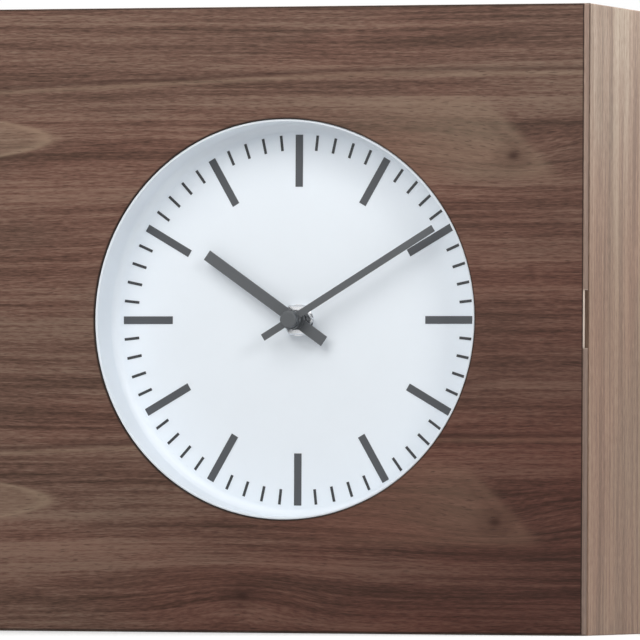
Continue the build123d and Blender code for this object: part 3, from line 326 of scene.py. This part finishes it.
class Tree:
    """Short ways to add nodes to one node tree and join them."""

    def __init__(self, tree):
        self.tree = tree

    def node(self, kind, **settings):
        made = self.tree.nodes.new(kind)
        for name, value in settings.items():
            setattr(made, name, value)
        return made

    def feed(self, socket, value):
        """Join a socket to a node's output, or set it to a plain value."""
        if isinstance(value, bpy.types.NodeSocket):
            self.tree.links.new(value, socket)
        elif isinstance(value, tuple) and len(socket.default_value) > len(value):
            socket.default_value = (*value, 1)
        else:
            socket.default_value = value

    def math(self, operation, *values):
        made = self.node("ShaderNodeMath", operation=operation)
        for socket, value in zip(made.inputs, values):
            self.feed(socket, value)
        return made.outputs[0]

    def add(self, *values):
        total = values[0]
        for value in values[1:]:
            total = self.math("ADD", total, value)
        return total

    def subtract(self, first, second):
        return self.math("SUBTRACT", first, second)

    def multiply(self, *values):
        total = values[0]
        for value in values[1:]:
            total = self.math("MULTIPLY", total, value)
        return total

    def divide(self, first, second):
        return self.math("DIVIDE", first, second)

    def weigh(self, masks, shares):
        """Sum of named masks, each by its own share."""
        return self.add(*[self.multiply(mask, shares[name]) for name, mask in masks.items()])

    def steps(self, value, low, high):
        """Smooth step from 0 at low to 1 at high."""
        made = self.node("ShaderNodeMapRange", interpolation_type="SMOOTHSTEP")
        for name, given in (("Value", value), ("From Min", low), ("From Max", high)):
            self.feed(made.inputs[name], given)
        return made.outputs["Result"]

    def hump(self, value, centre, width):
        """Bell curve of a value about a centre."""
        offset = self.divide(self.subtract(value, centre), width)
        return self.math("EXPONENT", self.multiply(offset, offset, -1))

    def length(self, first, second):
        """Length of a flat vector with two given parts."""
        return self.math("SQRT", self.add(self.multiply(first, first), self.multiply(second, second)))

    def vector(self, x, y, z):
        made = self.node("ShaderNodeCombineXYZ")
        for socket, value in zip(made.inputs, (x, y, z)):
            self.feed(socket, value)
        return made.outputs[0]

    def parts(self, vector):
        """X, Y and Z of a vector."""
        made = self.node("ShaderNodeSeparateXYZ")
        self.feed(made.inputs[0], vector)
        return made.outputs

    def shrink(self, vector, sizes):
        """A place counted in sizes, one for each axis."""
        made = self.node("ShaderNodeVectorMath", operation="DIVIDE")
        self.feed(made.inputs[0], vector)
        self.feed(made.inputs[1], sizes)
        return made.outputs[0]

    def noise(self, vector, scale=1, detail=NOISE_DETAIL, roughness=NOISE_ROUGHNESS):
        made = self.node("ShaderNodeTexNoise")
        self.feed(made.inputs["Vector"], vector)
        for name, value in (("Scale", scale), ("Detail", detail), ("Roughness", roughness)):
            self.feed(made.inputs[name], value)
        return made.outputs["Fac"]

    def cells(self, vector, scale):
        made = self.node("ShaderNodeTexVoronoi")
        self.feed(made.inputs["Vector"], vector)
        self.feed(made.inputs["Scale"], scale)
        return made.outputs["Distance"]

    def ramp(self, value, colours, low=0, high=1):
        """Colours read off a value, spaced evenly from low to high."""
        made = self.node("ShaderNodeValToRGB")
        band = made.color_ramp.elements
        while len(band) < len(colours):
            band.new(0)
        for index, colour in enumerate(colours):
            band[index].position = low + (high - low) * index / (len(colours) - 1)
            band[index].color = (*colour, 1)
        self.feed(made.inputs["Fac"], value)
        return made.outputs["Color"]

    def mix(self, share, first, second, blend="MIX"):
        made = self.node("ShaderNodeMix", data_type="RGBA", blend_type=blend)
        colours = [socket for socket in made.inputs if socket.type == "RGBA"]
        self.feed(made.inputs["Factor"], share)
        self.feed(colours[0], first)
        self.feed(colours[1], second)
        return next(socket for socket in made.outputs if socket.type == "RGBA")

    def tint(self, share, colour, tint):
        """A colour dyed with another, by a share."""
        return self.mix(share, colour, tint, blend="MULTIPLY")

    def dim(self, colour, share):
        """A colour at a share of its strength."""
        made = self.node("ShaderNodeVectorMath", operation="SCALE")
        self.feed(made.inputs["Vector"], colour)
        self.feed(made.inputs["Scale"], share)
        return made.outputs["Vector"]

    def group(self, tree, **values):
        made = self.node("ShaderNodeGroup", node_tree=tree)
        for name, value in values.items():
            self.feed(made.inputs[name], value)
        return made.outputs

    def place(self):
        """Object coordinates, as a vector and as X, Y and Z."""
        vector = self.node("ShaderNodeTexCoord").outputs["Object"]
        return (vector, *self.parts(vector))

    def facing(self, axis):
        """Mask of the faces that look along an axis of the piece: 0 is X, 1 is Y, 2 is Z."""
        normal = self.parts(self.node("ShaderNodeTexCoord").outputs["Normal"])
        return self.math("GREATER_THAN", self.math("ABSOLUTE", normal[axis]), FACING_SHARE)

    def bump(self, height, depth):
        made = self.node("ShaderNodeBump")
        self.feed(made.inputs["Height"], height)
        self.feed(made.inputs["Distance"], depth)
        return made.outputs["Normal"]


class Finish(Tree):
    """A material with one shader, whose sockets are set by name."""

    def __init__(self, name):
        self.material = bpy.data.materials.new(name)
        self.material.use_nodes = True
        super().__init__(self.material.node_tree)
        self.shader = self.tree.nodes["Principled BSDF"]

    def rough(self, least, mask, spread):
        """Roughness that a mask raises from its least value."""
        return self.add(least, self.multiply(mask, spread))

    def set(self, **values):
        for name, value in values.items():
            self.feed(self.shader.inputs[name.replace("_", " ")], value)
        return self.material


# Node groups

def new_group(name, inputs, outputs):
    """Empty node group: its Tree, its inputs and its outputs. Place is a vector, the rest are numbers."""
    tree = bpy.data.node_groups.new(name, "ShaderNodeTree")
    for in_out, sockets in (("INPUT", inputs), ("OUTPUT", outputs)):
        for socket in sockets:
            kind = "NodeSocketVector" if socket == "Place" else "NodeSocketFloat"
            tree.interface.new_socket(name=socket, in_out=in_out, socket_type=kind)
    group = Tree(tree)
    return group, group.node("NodeGroupInput").outputs, group.node("NodeGroupOutput").inputs


# Wood grain

def grain_marks(group, along, across, sizes):
    """Noise drawn out along the fibres."""
    beside = group.divide(along, sizes["length"])
    above = group.divide(across, sizes["height"])
    place = group.vector(beside, above, sizes["layer"])
    return group.noise(place, detail=sizes["detail"], roughness=sizes["roughness"])


def wood_grain_group():
    """Bands, threads, streaks, fibres and pores that run along one direction of a board."""
    inputs = ("Along", "Across", "Lift")
    outputs = ("Tone", "Hue", "Pores", "Height")
    group, given, out = new_group("wood_grain", inputs, outputs)
    along = given["Along"]
    warp = group.subtract(grain_marks(group, along, given["Across"], GRAIN_WARP), NOISE_MIDDLE_SHARE)
    lifted = group.add(given["Across"], given["Lift"], group.multiply(warp, WARP_LIFT))
    marks = {name: grain_marks(group, along, lifted, sizes) for name, sizes in GRAIN_MARKS.items()}
    tone = group.weigh({name: marks[name] for name in TONE_SHARES}, TONE_SHARES)
    pores = group.steps(marks["pores"], *PORE_SPAN_SHARES)
    group.feed(out["Tone"], group.steps(tone, *TONE_SPAN_SHARES))
    group.feed(out["Hue"], group.steps(marks["hues"], *HUE_SPAN_SHARES))
    group.feed(out["Pores"], pores)
    group.feed(out["Height"], group.subtract(group.multiply(marks["fibres"], FIBRE_RELIEF_SHARE), pores))
    return group.tree


# Figure of the door's veneer

def spot(group, along, up, centre, size):
    """Soft oval about a point of the veneer."""
    return group.multiply(group.hump(along, centre[0], size[0]), group.hump(up, centre[1], size[1]))


def knot(group, along, up, centre, size):
    """Dark heart of a knot, with a fainter ring round it."""
    beside = group.divide(group.subtract(along, centre[0]), size[0])
    above = group.divide(group.subtract(up, centre[1]), size[1])
    reach = group.length(beside, above)
    ring = group.hump(reach, KNOT_RING_SHARE, KNOT_RING_WIDTH_SHARE)
    return group.add(group.hump(reach, 0, 1), group.multiply(ring, KNOT_RING_DARK_SHARE))


def tongue_masks(group, along, up):
    """Rim and inside of a pale parabola that points right from the board's left edge."""
    steepness = TONGUE_REACH / TONGUE_HALF_HEIGHT**2
    height = group.subtract(up, TONGUE_UP)
    depth = group.subtract(group.subtract(TONGUE_TIP, along), group.multiply(height, height, steepness))
    return group.hump(depth, TONGUE_RIM, TONGUE_RIM), group.steps(depth, 0, TONGUE_RIM)


def patch_masks(group, along, up):
    """Rim and inside of the paler patch, which ends in a slanted tip at its right."""
    below_top = group.subtract(PATCH_TOP, up)
    above_foot = group.subtract(up, PATCH_FOOT)
    beside_tip = group.multiply(group.subtract(PATCH_TIP, along), math.sin(PATCH_SLANT))
    below_tip = group.multiply(group.subtract(PATCH_TIP_UP, up), math.cos(PATCH_SLANT))
    depth = group.math("SMOOTH_MIN", below_top, group.add(beside_tip, below_tip), PATCH_ROUND)
    depth = group.math("SMOOTH_MIN", depth, above_foot, PATCH_ROUND)
    inside = group.steps(depth, 0, PATCH_FADE)
    not_left = group.steps(along, PATCH_LEFT, PATCH_TIP)
    rim = group.hump(depth, PATCH_RIM, PATCH_RIM)
    return group.multiply(rim, not_left), group.multiply(inside, not_left)


def pale_line_height(group, along):
    """Height of the long pale line, which rises from the left and then runs level."""
    rise = group.multiply(group.subtract(along, PALE_LINE_BEND), PALE_LINE_SLOPE)
    return group.add(group.math("SMOOTH_MIN", rise, 0, PALE_LINE_WIDTH), PALE_LINE_UP)


def veneer_figure_group():
    """A pale tongue, a paler patch with a knot, a second knot and a long pale line."""
    group, given, out = new_group("veneer_figure", ("Along", "Across"), ("Lift", "Pale", "Dark"))
    along = given["Along"]
    height = group.subtract(given["Across"], VENEER_FOOT)
    up = group.math("FLOORED_MODULO", height, VENEER_REPEAT)
    row = group.math("FLOOR", group.divide(height, VENEER_REPEAT))
    slipped = group.subtract(along, group.multiply(row, PATCH_SLIP))
    line_up = group.subtract(up, pale_line_height(group, along))
    tongue_rim, tongue = tongue_masks(group, along, up)
    patch_rim, patch = patch_masks(group, slipped, up)
    pales = {
        "tongue": tongue, "tongue_rim": tongue_rim, "patch_rim": patch_rim, "patch": patch,
        "line": group.hump(line_up, 0, PALE_LINE_WIDTH),
    }
    darks = {
        "small_knot": knot(group, slipped, up, SMALL_KNOT, SMALL_KNOT_SIZE),
        "large_knot": knot(group, along, up, LARGE_KNOT, LARGE_KNOT_SIZE),
        "line": group.hump(line_up, DARK_LINE_RISE, PALE_LINE_WIDTH),
    }
    above_knot = group.multiply(spot(group, slipped, up, SMALL_KNOT, KNOT_SWEEP), KNOT_LIFT)
    below_knot = group.multiply(spot(group, along, up, LARGE_KNOT, KNOT_SWEEP), -KNOT_LIFT)
    group.feed(out["Lift"], group.add(above_knot, below_knot))
    group.feed(out["Pale"], group.weigh(pales, PALE_SHARES))
    group.feed(out["Dark"], group.weigh(darks, DARK_SHARES))
    return group.tree


# Skins of mouldings and metals

def smudges(group, place):
    noise = group.noise(place, 1 / SMUDGE_SIZE, SMUDGE_DETAIL, SMUDGE_ROUGHNESS)
    return group.steps(noise, *SMUDGE_SPAN_SHARES)


def moulded_skin_group():
    """Fine grain, slow drift of tone and smudges of a moulded or painted surface."""
    group, given, out = new_group("moulded_skin", ("Place",), ("Shade", "Smudge", "Height"))
    grain = group.noise(given["Place"], 1 / SKIN_GRAIN, SKIN_DETAIL)
    drift = group.noise(given["Place"], 1 / DRIFT_SIZE)
    group.feed(out["Shade"], group.weigh({"drift": drift, "grain": grain}, SKIN_TONE_SHARES))
    group.feed(out["Smudge"], smudges(group, given["Place"]))
    group.feed(out["Height"], grain)
    return group.tree


def drawn_lines_group():
    """Fine lines of rolled or drawn metal, with smudges."""
    group, given, out = new_group("drawn_lines", ("Place",), ("Shade", "Smudge", "Height"))
    place = group.shrink(given["Place"], (LINE_LENGTH, LINE_HEIGHT, LINE_HEIGHT))
    lines = group.noise(place, detail=LINE_DETAIL)
    group.feed(out["Shade"], group.steps(lines, *LINE_SPAN_SHARES))
    group.feed(out["Smudge"], smudges(group, given["Place"]))
    group.feed(out["Height"], lines)
    return group.tree


WOOD_GRAIN = wood_grain_group()
VENEER_FIGURE = veneer_figure_group()
MOULDED_SKIN = moulded_skin_group()
DRAWN_LINES = drawn_lines_group()


# Wood finishes

def board_axes(finish, upright):
    """Places along and across a board's fibres, the same on its broad faces and its long edges."""
    _, x, y, z = finish.place()
    if upright:
        end = finish.facing(2)
        along = finish.add(z, finish.multiply(end, y))
        return along, finish.add(x, finish.multiply(y, finish.subtract(1, end)))
    end = finish.facing(0)
    along = finish.add(x, finish.multiply(end, z))
    depth = finish.subtract(y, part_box("door_panel")[0].y)
    return along, finish.add(depth, finish.multiply(z, finish.subtract(1, end)))


def painted_edge_shade(finish):
    """Mask of the painted shade in a dark line round the door's face, and on the rim and wall of its round
    opening.
    """
    _, x, _, z = finish.place()
    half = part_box("door_panel")[1]
    to_side = finish.subtract(half.x, finish.math("ABSOLUTE", x))
    to_end = finish.subtract(half.z, finish.math("ABSOLUTE", z))
    to_edge = finish.math("MINIMUM", to_side, to_end)
    to_opening = finish.subtract(finish.length(x, z), OPENING_RADIUS)
    edge = finish.steps(to_edge, PAINTED_EDGE_SHADE_END, PAINTED_EDGE_SHADE_START)
    opening = finish.steps(to_opening, PAINTED_OPENING_SHADE_END, 0)
    edge_shade = finish.multiply(edge, DARK_SHARES["edge"])
    return finish.math("MAXIMUM", edge_shade, finish.multiply(opening, DARK_SHARES["opening"]))


def outer_edges(finish):
    """Mask of the door's four narrow outer faces."""
    _, x, _, z = finish.place()
    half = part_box("door_panel")[1]
    at_side = finish.math("GREATER_THAN", finish.math("ABSOLUTE", x), half.x - EDGE_DEPTH)
    at_end = finish.math("GREATER_THAN", finish.math("ABSOLUTE", z), half.z - EDGE_DEPTH)
    side = finish.multiply(at_side, finish.facing(0))
    return finish.math("MAXIMUM", side, finish.multiply(at_end, finish.facing(2)))


def edge_colour(finish, grain):
    """Colour of the door's narrow outer faces, worn pale in front of the finger pull."""
    _, x, _, z = finish.place()
    colour = finish.tint(1, finish.ramp(grain["Tone"], CASE_WALNUT["tones"]), EDGE_TINT)
    to_pull = finish.subtract(finish.math("ABSOLUTE", z), PULL_HALF_HEIGHT)
    near_pull = finish.steps(to_pull, PULL_FADE, -PULL_FADE)
    worn = finish.multiply(near_pull, finish.math("GREATER_THAN", x, 0))
    return finish.mix(worn, colour, PULL_WORN)


def drifting(finish, drift):
    """Share that changes slowly over the door: to the right, upwards, and more to the upper right."""
    _, x, _, z = finish.place()
    level = finish.add(finish.multiply(x, drift["right"]), finish.multiply(z, drift["up"]))
    return finish.add(drift["at_centre"], level, finish.multiply(x, z, drift["twist"]))


def walnut_front():
    """Figured veneer of the door, with painted shade along its edges and in its opening, painted shading
    that darkens it towards the bottom right, and worn edges.
    """
    finish = Finish("walnut_front")
    along, across = board_axes(finish, upright=False)
    figure = finish.group(VENEER_FIGURE, Along=along, Across=across)
    grain = finish.group(WOOD_GRAIN, Along=along, Across=across, Lift=figure["Lift"])
    olive = finish.add(finish.multiply(grain["Hue"], OLIVE_HUE_SHARE), drifting(finish, OLIVE_DRIFT))
    colour = finish.ramp(grain["Tone"], FRONT_TONES)
    colour = finish.mix(figure["Pale"], colour, FRONT_PALE)
    # Painted light and shade: the veneer is dimmed towards the bottom right and kept bright towards the
    # top left, as the light falls
    colour = finish.dim(finish.tint(olive, colour, OLIVE_TINT), drifting(finish, PAINTED_SHADE_DRIFT))
    colour = finish.mix(figure["Dark"], colour, FRONT_KNOT)
    colour = finish.mix(finish.multiply(grain["Pores"], FRONT_PORE_SHARE), colour, FRONT_PORE)
    # Painted shade: a dark line along the door's edges and on the rim and wall of its opening, standing in
    # for shadow
    colour = finish.mix(painted_edge_shade(finish), colour, PAINTED_EDGE_SHADE)
    colour = finish.mix(outer_edges(finish), colour, edge_colour(finish, grain))
    return finish.set(
        Base_Color=colour, Roughness=finish.rough(FRONT_ROUGH, grain["Tone"], FRONT_ROUGH_SPREAD),
        Specular_IOR_Level=WOOD_SPECULAR, Normal=finish.bump(grain["Height"], PORE_DEPTH),
    )


def painted_sheen(finish, colour):
    """Colour of the case with painted sheen, paler and cooler towards its top, where the light falls."""
    height = finish.place()[3]
    return finish.tint(finish.steps(height, PAINTED_SHEEN_FOOT, PAINTED_SHEEN_TOP), colour, PAINTED_SHEEN_TINT)


def plain_wood(name, wood, upright, with_painted_sheen=False):
    """Wood without figure, whose fibres run up or to the right."""
    finish = Finish(name)
    along, across = board_axes(finish, upright)
    grain = finish.group(WOOD_GRAIN, Along=along, Across=across, Lift=0)
    colour = finish.ramp(grain["Tone"], wood["tones"])
    colour = finish.tint(finish.multiply(grain["Hue"], WOOD_HUE_SHARE), colour, WOOD_TINT)
    # Painted sheen: the case turns paler and cooler towards its top, as the light falls from above
    if with_painted_sheen:
        colour = painted_sheen(finish, colour)
    colour = finish.mix(finish.multiply(grain["Pores"], WOOD_PORE_SHARE), colour, wood["pore"])
    return finish.set(
        Base_Color=colour, Roughness=finish.rough(wood["rough"], grain["Tone"], WOOD_ROUGH_SPREAD),
        Specular_IOR_Level=WOOD_SPECULAR, Normal=finish.bump(grain["Height"], PORE_DEPTH),
    )


# Moulded, painted and metal finishes

def shade(colour, share):
    return tuple(part * share for part in colour)


def moulding(name, look):
    """Plastic, rubber or paint with a fine skin."""
    finish = Finish(name)
    skin = finish.group(MOULDED_SKIN, Place=finish.place()[0])
    spread = look["spread_share"]
    tones = (shade(look["colour"], 1 - spread), shade(look["colour"], 1 + spread))
    return finish.set(
        Base_Color=finish.ramp(skin["Shade"], tones, *SKIN_SPAN_SHARES),
        Roughness=finish.rough(look["rough"], skin["Smudge"], SKIN_ROUGH_SPREAD),
        Normal=finish.bump(skin["Height"], SKIN_DEPTH * look["depth_share"]),
    )


def metal(name, look):
    """Rolled or drawn metal."""
    finish = Finish(name)
    lines = finish.group(DRAWN_LINES, Place=finish.place()[0])
    tones = [shade(look["colour"], share) for share in LINE_TONE_SHARES]
    return finish.set(
        Base_Color=finish.ramp(lines["Shade"], tones), Metallic=1.0,
        Roughness=finish.rough(look["rough"], lines["Smudge"], SMUDGE_ROUGH_SPREAD),
        Normal=finish.bump(lines["Height"], LINE_DEPTH),
    )


def wound_wire():
    """Copper wire laid turn by turn along X."""
    finish = Finish("copper_wire")
    vector, x, _, _ = finish.place()
    turn = finish.math("SINE", finish.multiply(x, 2 * math.pi / WIRE_PITCH))
    height = finish.steps(turn, -1, 1)
    drift = finish.noise(vector, 1 / DRIFT_SIZE)
    return finish.set(
        Base_Color=finish.ramp(height, (shade(COPPER, WIRE_DARK_SHARE), COPPER)), Metallic=1.0,
        Roughness=finish.rough(WIRE_ROUGH, drift, WIRE_ROUGH_SPREAD),
        Normal=finish.bump(height, WIRE_DEPTH),
    )


def cell_sleeve():
    """Plain printed sleeve with one pale band, and bare metal at both ends."""
    finish = Finish("cell_sleeve")
    vector, x, _, _ = finish.place()
    low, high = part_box("battery_cell")
    skin = finish.group(MOULDED_SKIN, Place=vector)
    to_end = finish.math("MINIMUM", finish.subtract(x, low.x), finish.subtract(high.x, x))
    bare = finish.math("LESS_THAN", to_end, SLEEVE_END)
    band = finish.math("GREATER_THAN", x, high.x - SLEEVE_END - SLEEVE_BAND_WIDTH)
    smudge = finish.multiply(skin["Smudge"], SLEEVE_SMUDGE_SHARE)
    colour = finish.mix(band, SLEEVE_BLUE, SLEEVE_BAND)
    colour = finish.mix(bare, colour, METALS["zinc_steel"]["colour"])
    colour = finish.mix(smudge, colour, shade(SLEEVE_BLUE, SLEEVE_SMUDGE_DARK_SHARE))
    return finish.set(
        Base_Color=colour, Metallic=bare,
        Roughness=finish.rough(SLEEVE_ROUGH, skin["Smudge"], SMUDGE_ROUGH_SPREAD),
        Normal=finish.bump(skin["Height"], SKIN_DEPTH),
    )


def board_lacquer():
    """Green lacquer with paler tracks under it."""
    finish = Finish("board_green")
    vector = finish.place()[0]
    tracks = finish.steps(finish.cells(vector, 1 / TRACK_PITCH), *TRACK_SPAN_SHARES)
    skin = finish.group(MOULDED_SKIN, Place=vector)
    pale = shade(LACQUER_GREEN, TRACK_LIGHT_SHARE)
    return finish.set(
        Base_Color=finish.mix(finish.multiply(tracks, TRACK_PALE_SHARE), LACQUER_GREEN, pale),
        Roughness=finish.rough(LACQUER_ROUGH, skin["Smudge"], SMUDGE_ROUGH_SPREAD),
        Normal=finish.bump(tracks, SKIN_DEPTH),
    )


# Dressing

def dress(material, *nodes):
    """Give one material to CAD nodes."""
    for name in nodes:
        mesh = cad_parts[name].data
        mesh.materials.clear()
        mesh.materials.append(material)


def dress_woods():
    upright_case = plain_wood("walnut_upright", CASE_WALNUT, upright=True, with_painted_sheen=True)
    level_case = plain_wood("walnut_level", CASE_WALNUT, upright=False, with_painted_sheen=True)
    dress(walnut_front(), "door_panel")
    dress(upright_case, "side_panel_left", "side_panel_right")
    dress(level_case, "top_panel", "bottom_panel")
    dress(plain_wood("back_board", BACK_BOARD, upright=True), "back_panel")
    dress(plain_wood("beech", BEECH, upright=False), "hook_rail", "corner_dowels")


def dress_mouldings_and_metals():
    for name, look in MOULDINGS.items():
        dress(moulding(name, look), *look["pieces"])
    for name, look in METALS.items():
        dress(metal(name, look), *look["pieces"])


def dress_electrics():
    dress(board_lacquer(), "circuit_board")
    dress(wound_wire(), "coil_winding")
    dress(cell_sleeve(), "battery_cell")


# Moulded signs

def start_sign(name, place):
    """Small block on the cover's back, open for editing."""
    bpy.ops.object.select_all(action="DESELECT")
    bpy.ops.mesh.primitive_cube_add(size=SIGN_WIDTH, location=place)
    bpy.context.object.name = name
    bpy.ops.object.mode_set(mode="EDIT")
    bpy.ops.mesh.select_mode(type="FACE")
    bpy.ops.mesh.select_all(action="DESELECT")


def pick_faces(*ways):
    """Select the open piece's faces that look one of the given ways."""
    bpy.ops.object.mode_set(mode="OBJECT")
    for face in bpy.context.object.data.polygons:
        face.select = any(face.normal.dot(Vector(way)) > FACING_SHARE for way in ways)
    bpy.ops.object.mode_set(mode="EDIT")


def close_sign():
    """Round the open sign's edges, and fix it to the cover."""
    bpy.ops.mesh.select_all(action="SELECT")
    bpy.ops.mesh.normals_make_consistent(inside=False)
    bpy.ops.mesh.bevel(offset=SIGN_ROUND, segments=SIGN_ROUND_STEPS, clamp_overlap=True)
    bpy.ops.object.mode_set(mode="OBJECT")
    sign = bpy.context.object
    bpy.ops.object.transform_apply(location=True, rotation=True, scale=True)
    sign.data.materials.append(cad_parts["movement_cover"].data.materials[0])
    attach(sign, "door")


def pole_sign(name, across, *ways):
    """Bar or cross whose arms are drawn out of one block."""
    start_sign(name, (across, SIGN_BACK, POLE_UP))
    pick_faces(*ways)
    bpy.ops.mesh.extrude_faces_move(TRANSFORM_OT_shrink_fatten={"value": SIGN_ARM})
    close_sign()


def turn_arrow():
    """Arrow that bends round the setting knob: a block spun about the knob, flared and drawn to a tip."""
    low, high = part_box("setting_knob")
    centre = Vector(((low.x + high.x) / 2, SIGN_BACK, (low.z + high.z) / 2))
    end = centre + ARROW_RADIUS * Vector((math.cos(ARROW_TURN), 0, math.sin(ARROW_TURN)))
    onward = ARROW_HEAD * Vector((-math.sin(ARROW_TURN), 0, math.cos(ARROW_TURN)))
    start_sign("turn_arrow", centre + Vector((ARROW_RADIUS, 0, 0)))
    pick_faces(UP)
    bpy.ops.mesh.spin(steps=ARROW_STEPS, angle=ARROW_TURN, center=centre, axis=(0, 1, 0))
    bpy.ops.mesh.extrude_region_move(TRANSFORM_OT_translate={"value": onward * ARROW_TIP_SHARE})
    flare = (ARROW_FLARE_SHARE, 1, ARROW_FLARE_SHARE)
    bpy.ops.transform.resize(value=flare, center_override=end)
    bpy.ops.mesh.extrude_region_move(TRANSFORM_OT_translate={"value": onward})
    tip = (ARROW_TIP_SHARE, 1, ARROW_TIP_SHARE)
    bpy.ops.transform.resize(value=tip, center_override=end + onward)
    close_sign()


# Stage

def seen_rays(tree):
    """Mask of the rays that show the stage to the camera: straight, through glass or in a reflection."""
    path = tree.node("ShaderNodeLightPath").outputs
    straight = tree.math("MAXIMUM", path["Is Camera Ray"], path["Is Transmission Ray"])
    return tree.math("MAXIMUM", straight, path["Is Glossy Ray"])


def lay_floor():
    """Pale floor that keeps the shadow and looks near white to the camera."""
    bpy.ops.object.select_all(action="DESELECT")
    bpy.ops.mesh.primitive_plane_add(size=FLOOR_SIZE, location=(0, 0, cad_box[0][2]))
    floor = bpy.context.object
    floor.name = "floor"
    finish = Finish("floor_paper")
    vector, x, y, _ = finish.place()
    cloud = finish.noise(vector, 1 / FLOOR_CLOUD)
    far = finish.steps(finish.length(x, y), FLOOR_NEAR, FLOOR_FAR)
    glow = finish.add(FLOOR_GLOW, finish.multiply(far, FLOOR_FAR_GLOW - FLOOR_GLOW))
    material = finish.set(
        Base_Color=finish.mix(cloud, FLOOR_DULL, FLOOR_PALE), Roughness=FLOOR_ROUGH,
        Emission_Color=WHITE, Emission_Strength=finish.multiply(seen_rays(finish), glow),
    )
    floor.data.materials.append(material)


def light_world():
    """Soft light from all round, weaker from below, that looks plain white where the camera sees it."""
    world = bpy.data.worlds.new("studio")
    world.use_nodes = True
    bpy.context.scene.world = world
    studio = Tree(world.node_tree)
    background = world.node_tree.nodes["Background"]
    way = studio.parts(studio.node("ShaderNodeTexCoord").outputs["Generated"])
    seen = seen_rays(studio)
    height = studio.steps(way[2], -1, 1)
    share = studio.add(WORLD_LOW_SHARE, studio.multiply(height, 2 * (1 - WORLD_LOW_SHARE)))
    hidden = studio.multiply(share, WORLD_LEVEL, studio.subtract(1, seen))
    studio.feed(background.inputs["Color"], studio.mix(seen, WORLD_COLOUR, WHITE))
    studio.feed(background.inputs["Strength"], studio.add(hidden, seen))


def hang_lamps():
    """Square lamps, all turned to the middle of the clock's back."""
    for name, lamp in LAMPS.items():
        data = bpy.data.lights.new(name, "AREA")
        data.size = lamp["size"]
        data.energy = lamp["power"]
        data.color = LAMP_COLOUR
        place = Vector(lamp["place"])
        turn = place.to_track_quat("Z", "Y").to_matrix().to_4x4()
        holder = bpy.data.objects.new(name, data)
        holder.matrix_world = Matrix.Translation(place) @ turn
        bpy.context.scene.collection.objects.link(holder)


def stand_camera():
    """Camera turned to the clock's right side and a little below it, looking at the door."""
    level = math.cos(CAMERA_RISE)
    back = Vector((math.sin(CAMERA_TURN) * level, -math.cos(CAMERA_TURN) * level, math.sin(CAMERA_RISE)))
    right = Vector((math.cos(CAMERA_TURN), math.sin(CAMERA_TURN), 0))
    right = Matrix.Rotation(CAMERA_ROLL, 3, back) @ right
    up = back.cross(right)
    aim = Vector((CAMERA_AIM_RIGHT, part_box("door_panel")[0].y, CAMERA_AIM_UP))
    turn = Matrix((right, up, back)).transposed().to_4x4()
    data = bpy.data.cameras.new("camera")
    data.lens = CAMERA_LENS
    data.clip_end = CAMERA_REACH
    camera = bpy.data.objects.new("camera", data)
    camera.matrix_world = Matrix.Translation(aim + back * CAMERA_DISTANCE) @ turn
    bpy.context.scene.collection.objects.link(camera)
    bpy.context.scene.camera = camera


bpy.context.scene.view_settings.view_transform = "Standard"
dress_woods()
dress_mouldings_and_metals()
dress_electrics()
pole_sign("plus_sign", POLE_ACROSS, LEFT, RIGHT, UP, DOWN)
pole_sign("minus_sign", -POLE_ACROSS, LEFT, RIGHT)
turn_arrow()
lay_floor()
light_world()
hang_lamps()
stand_camera()
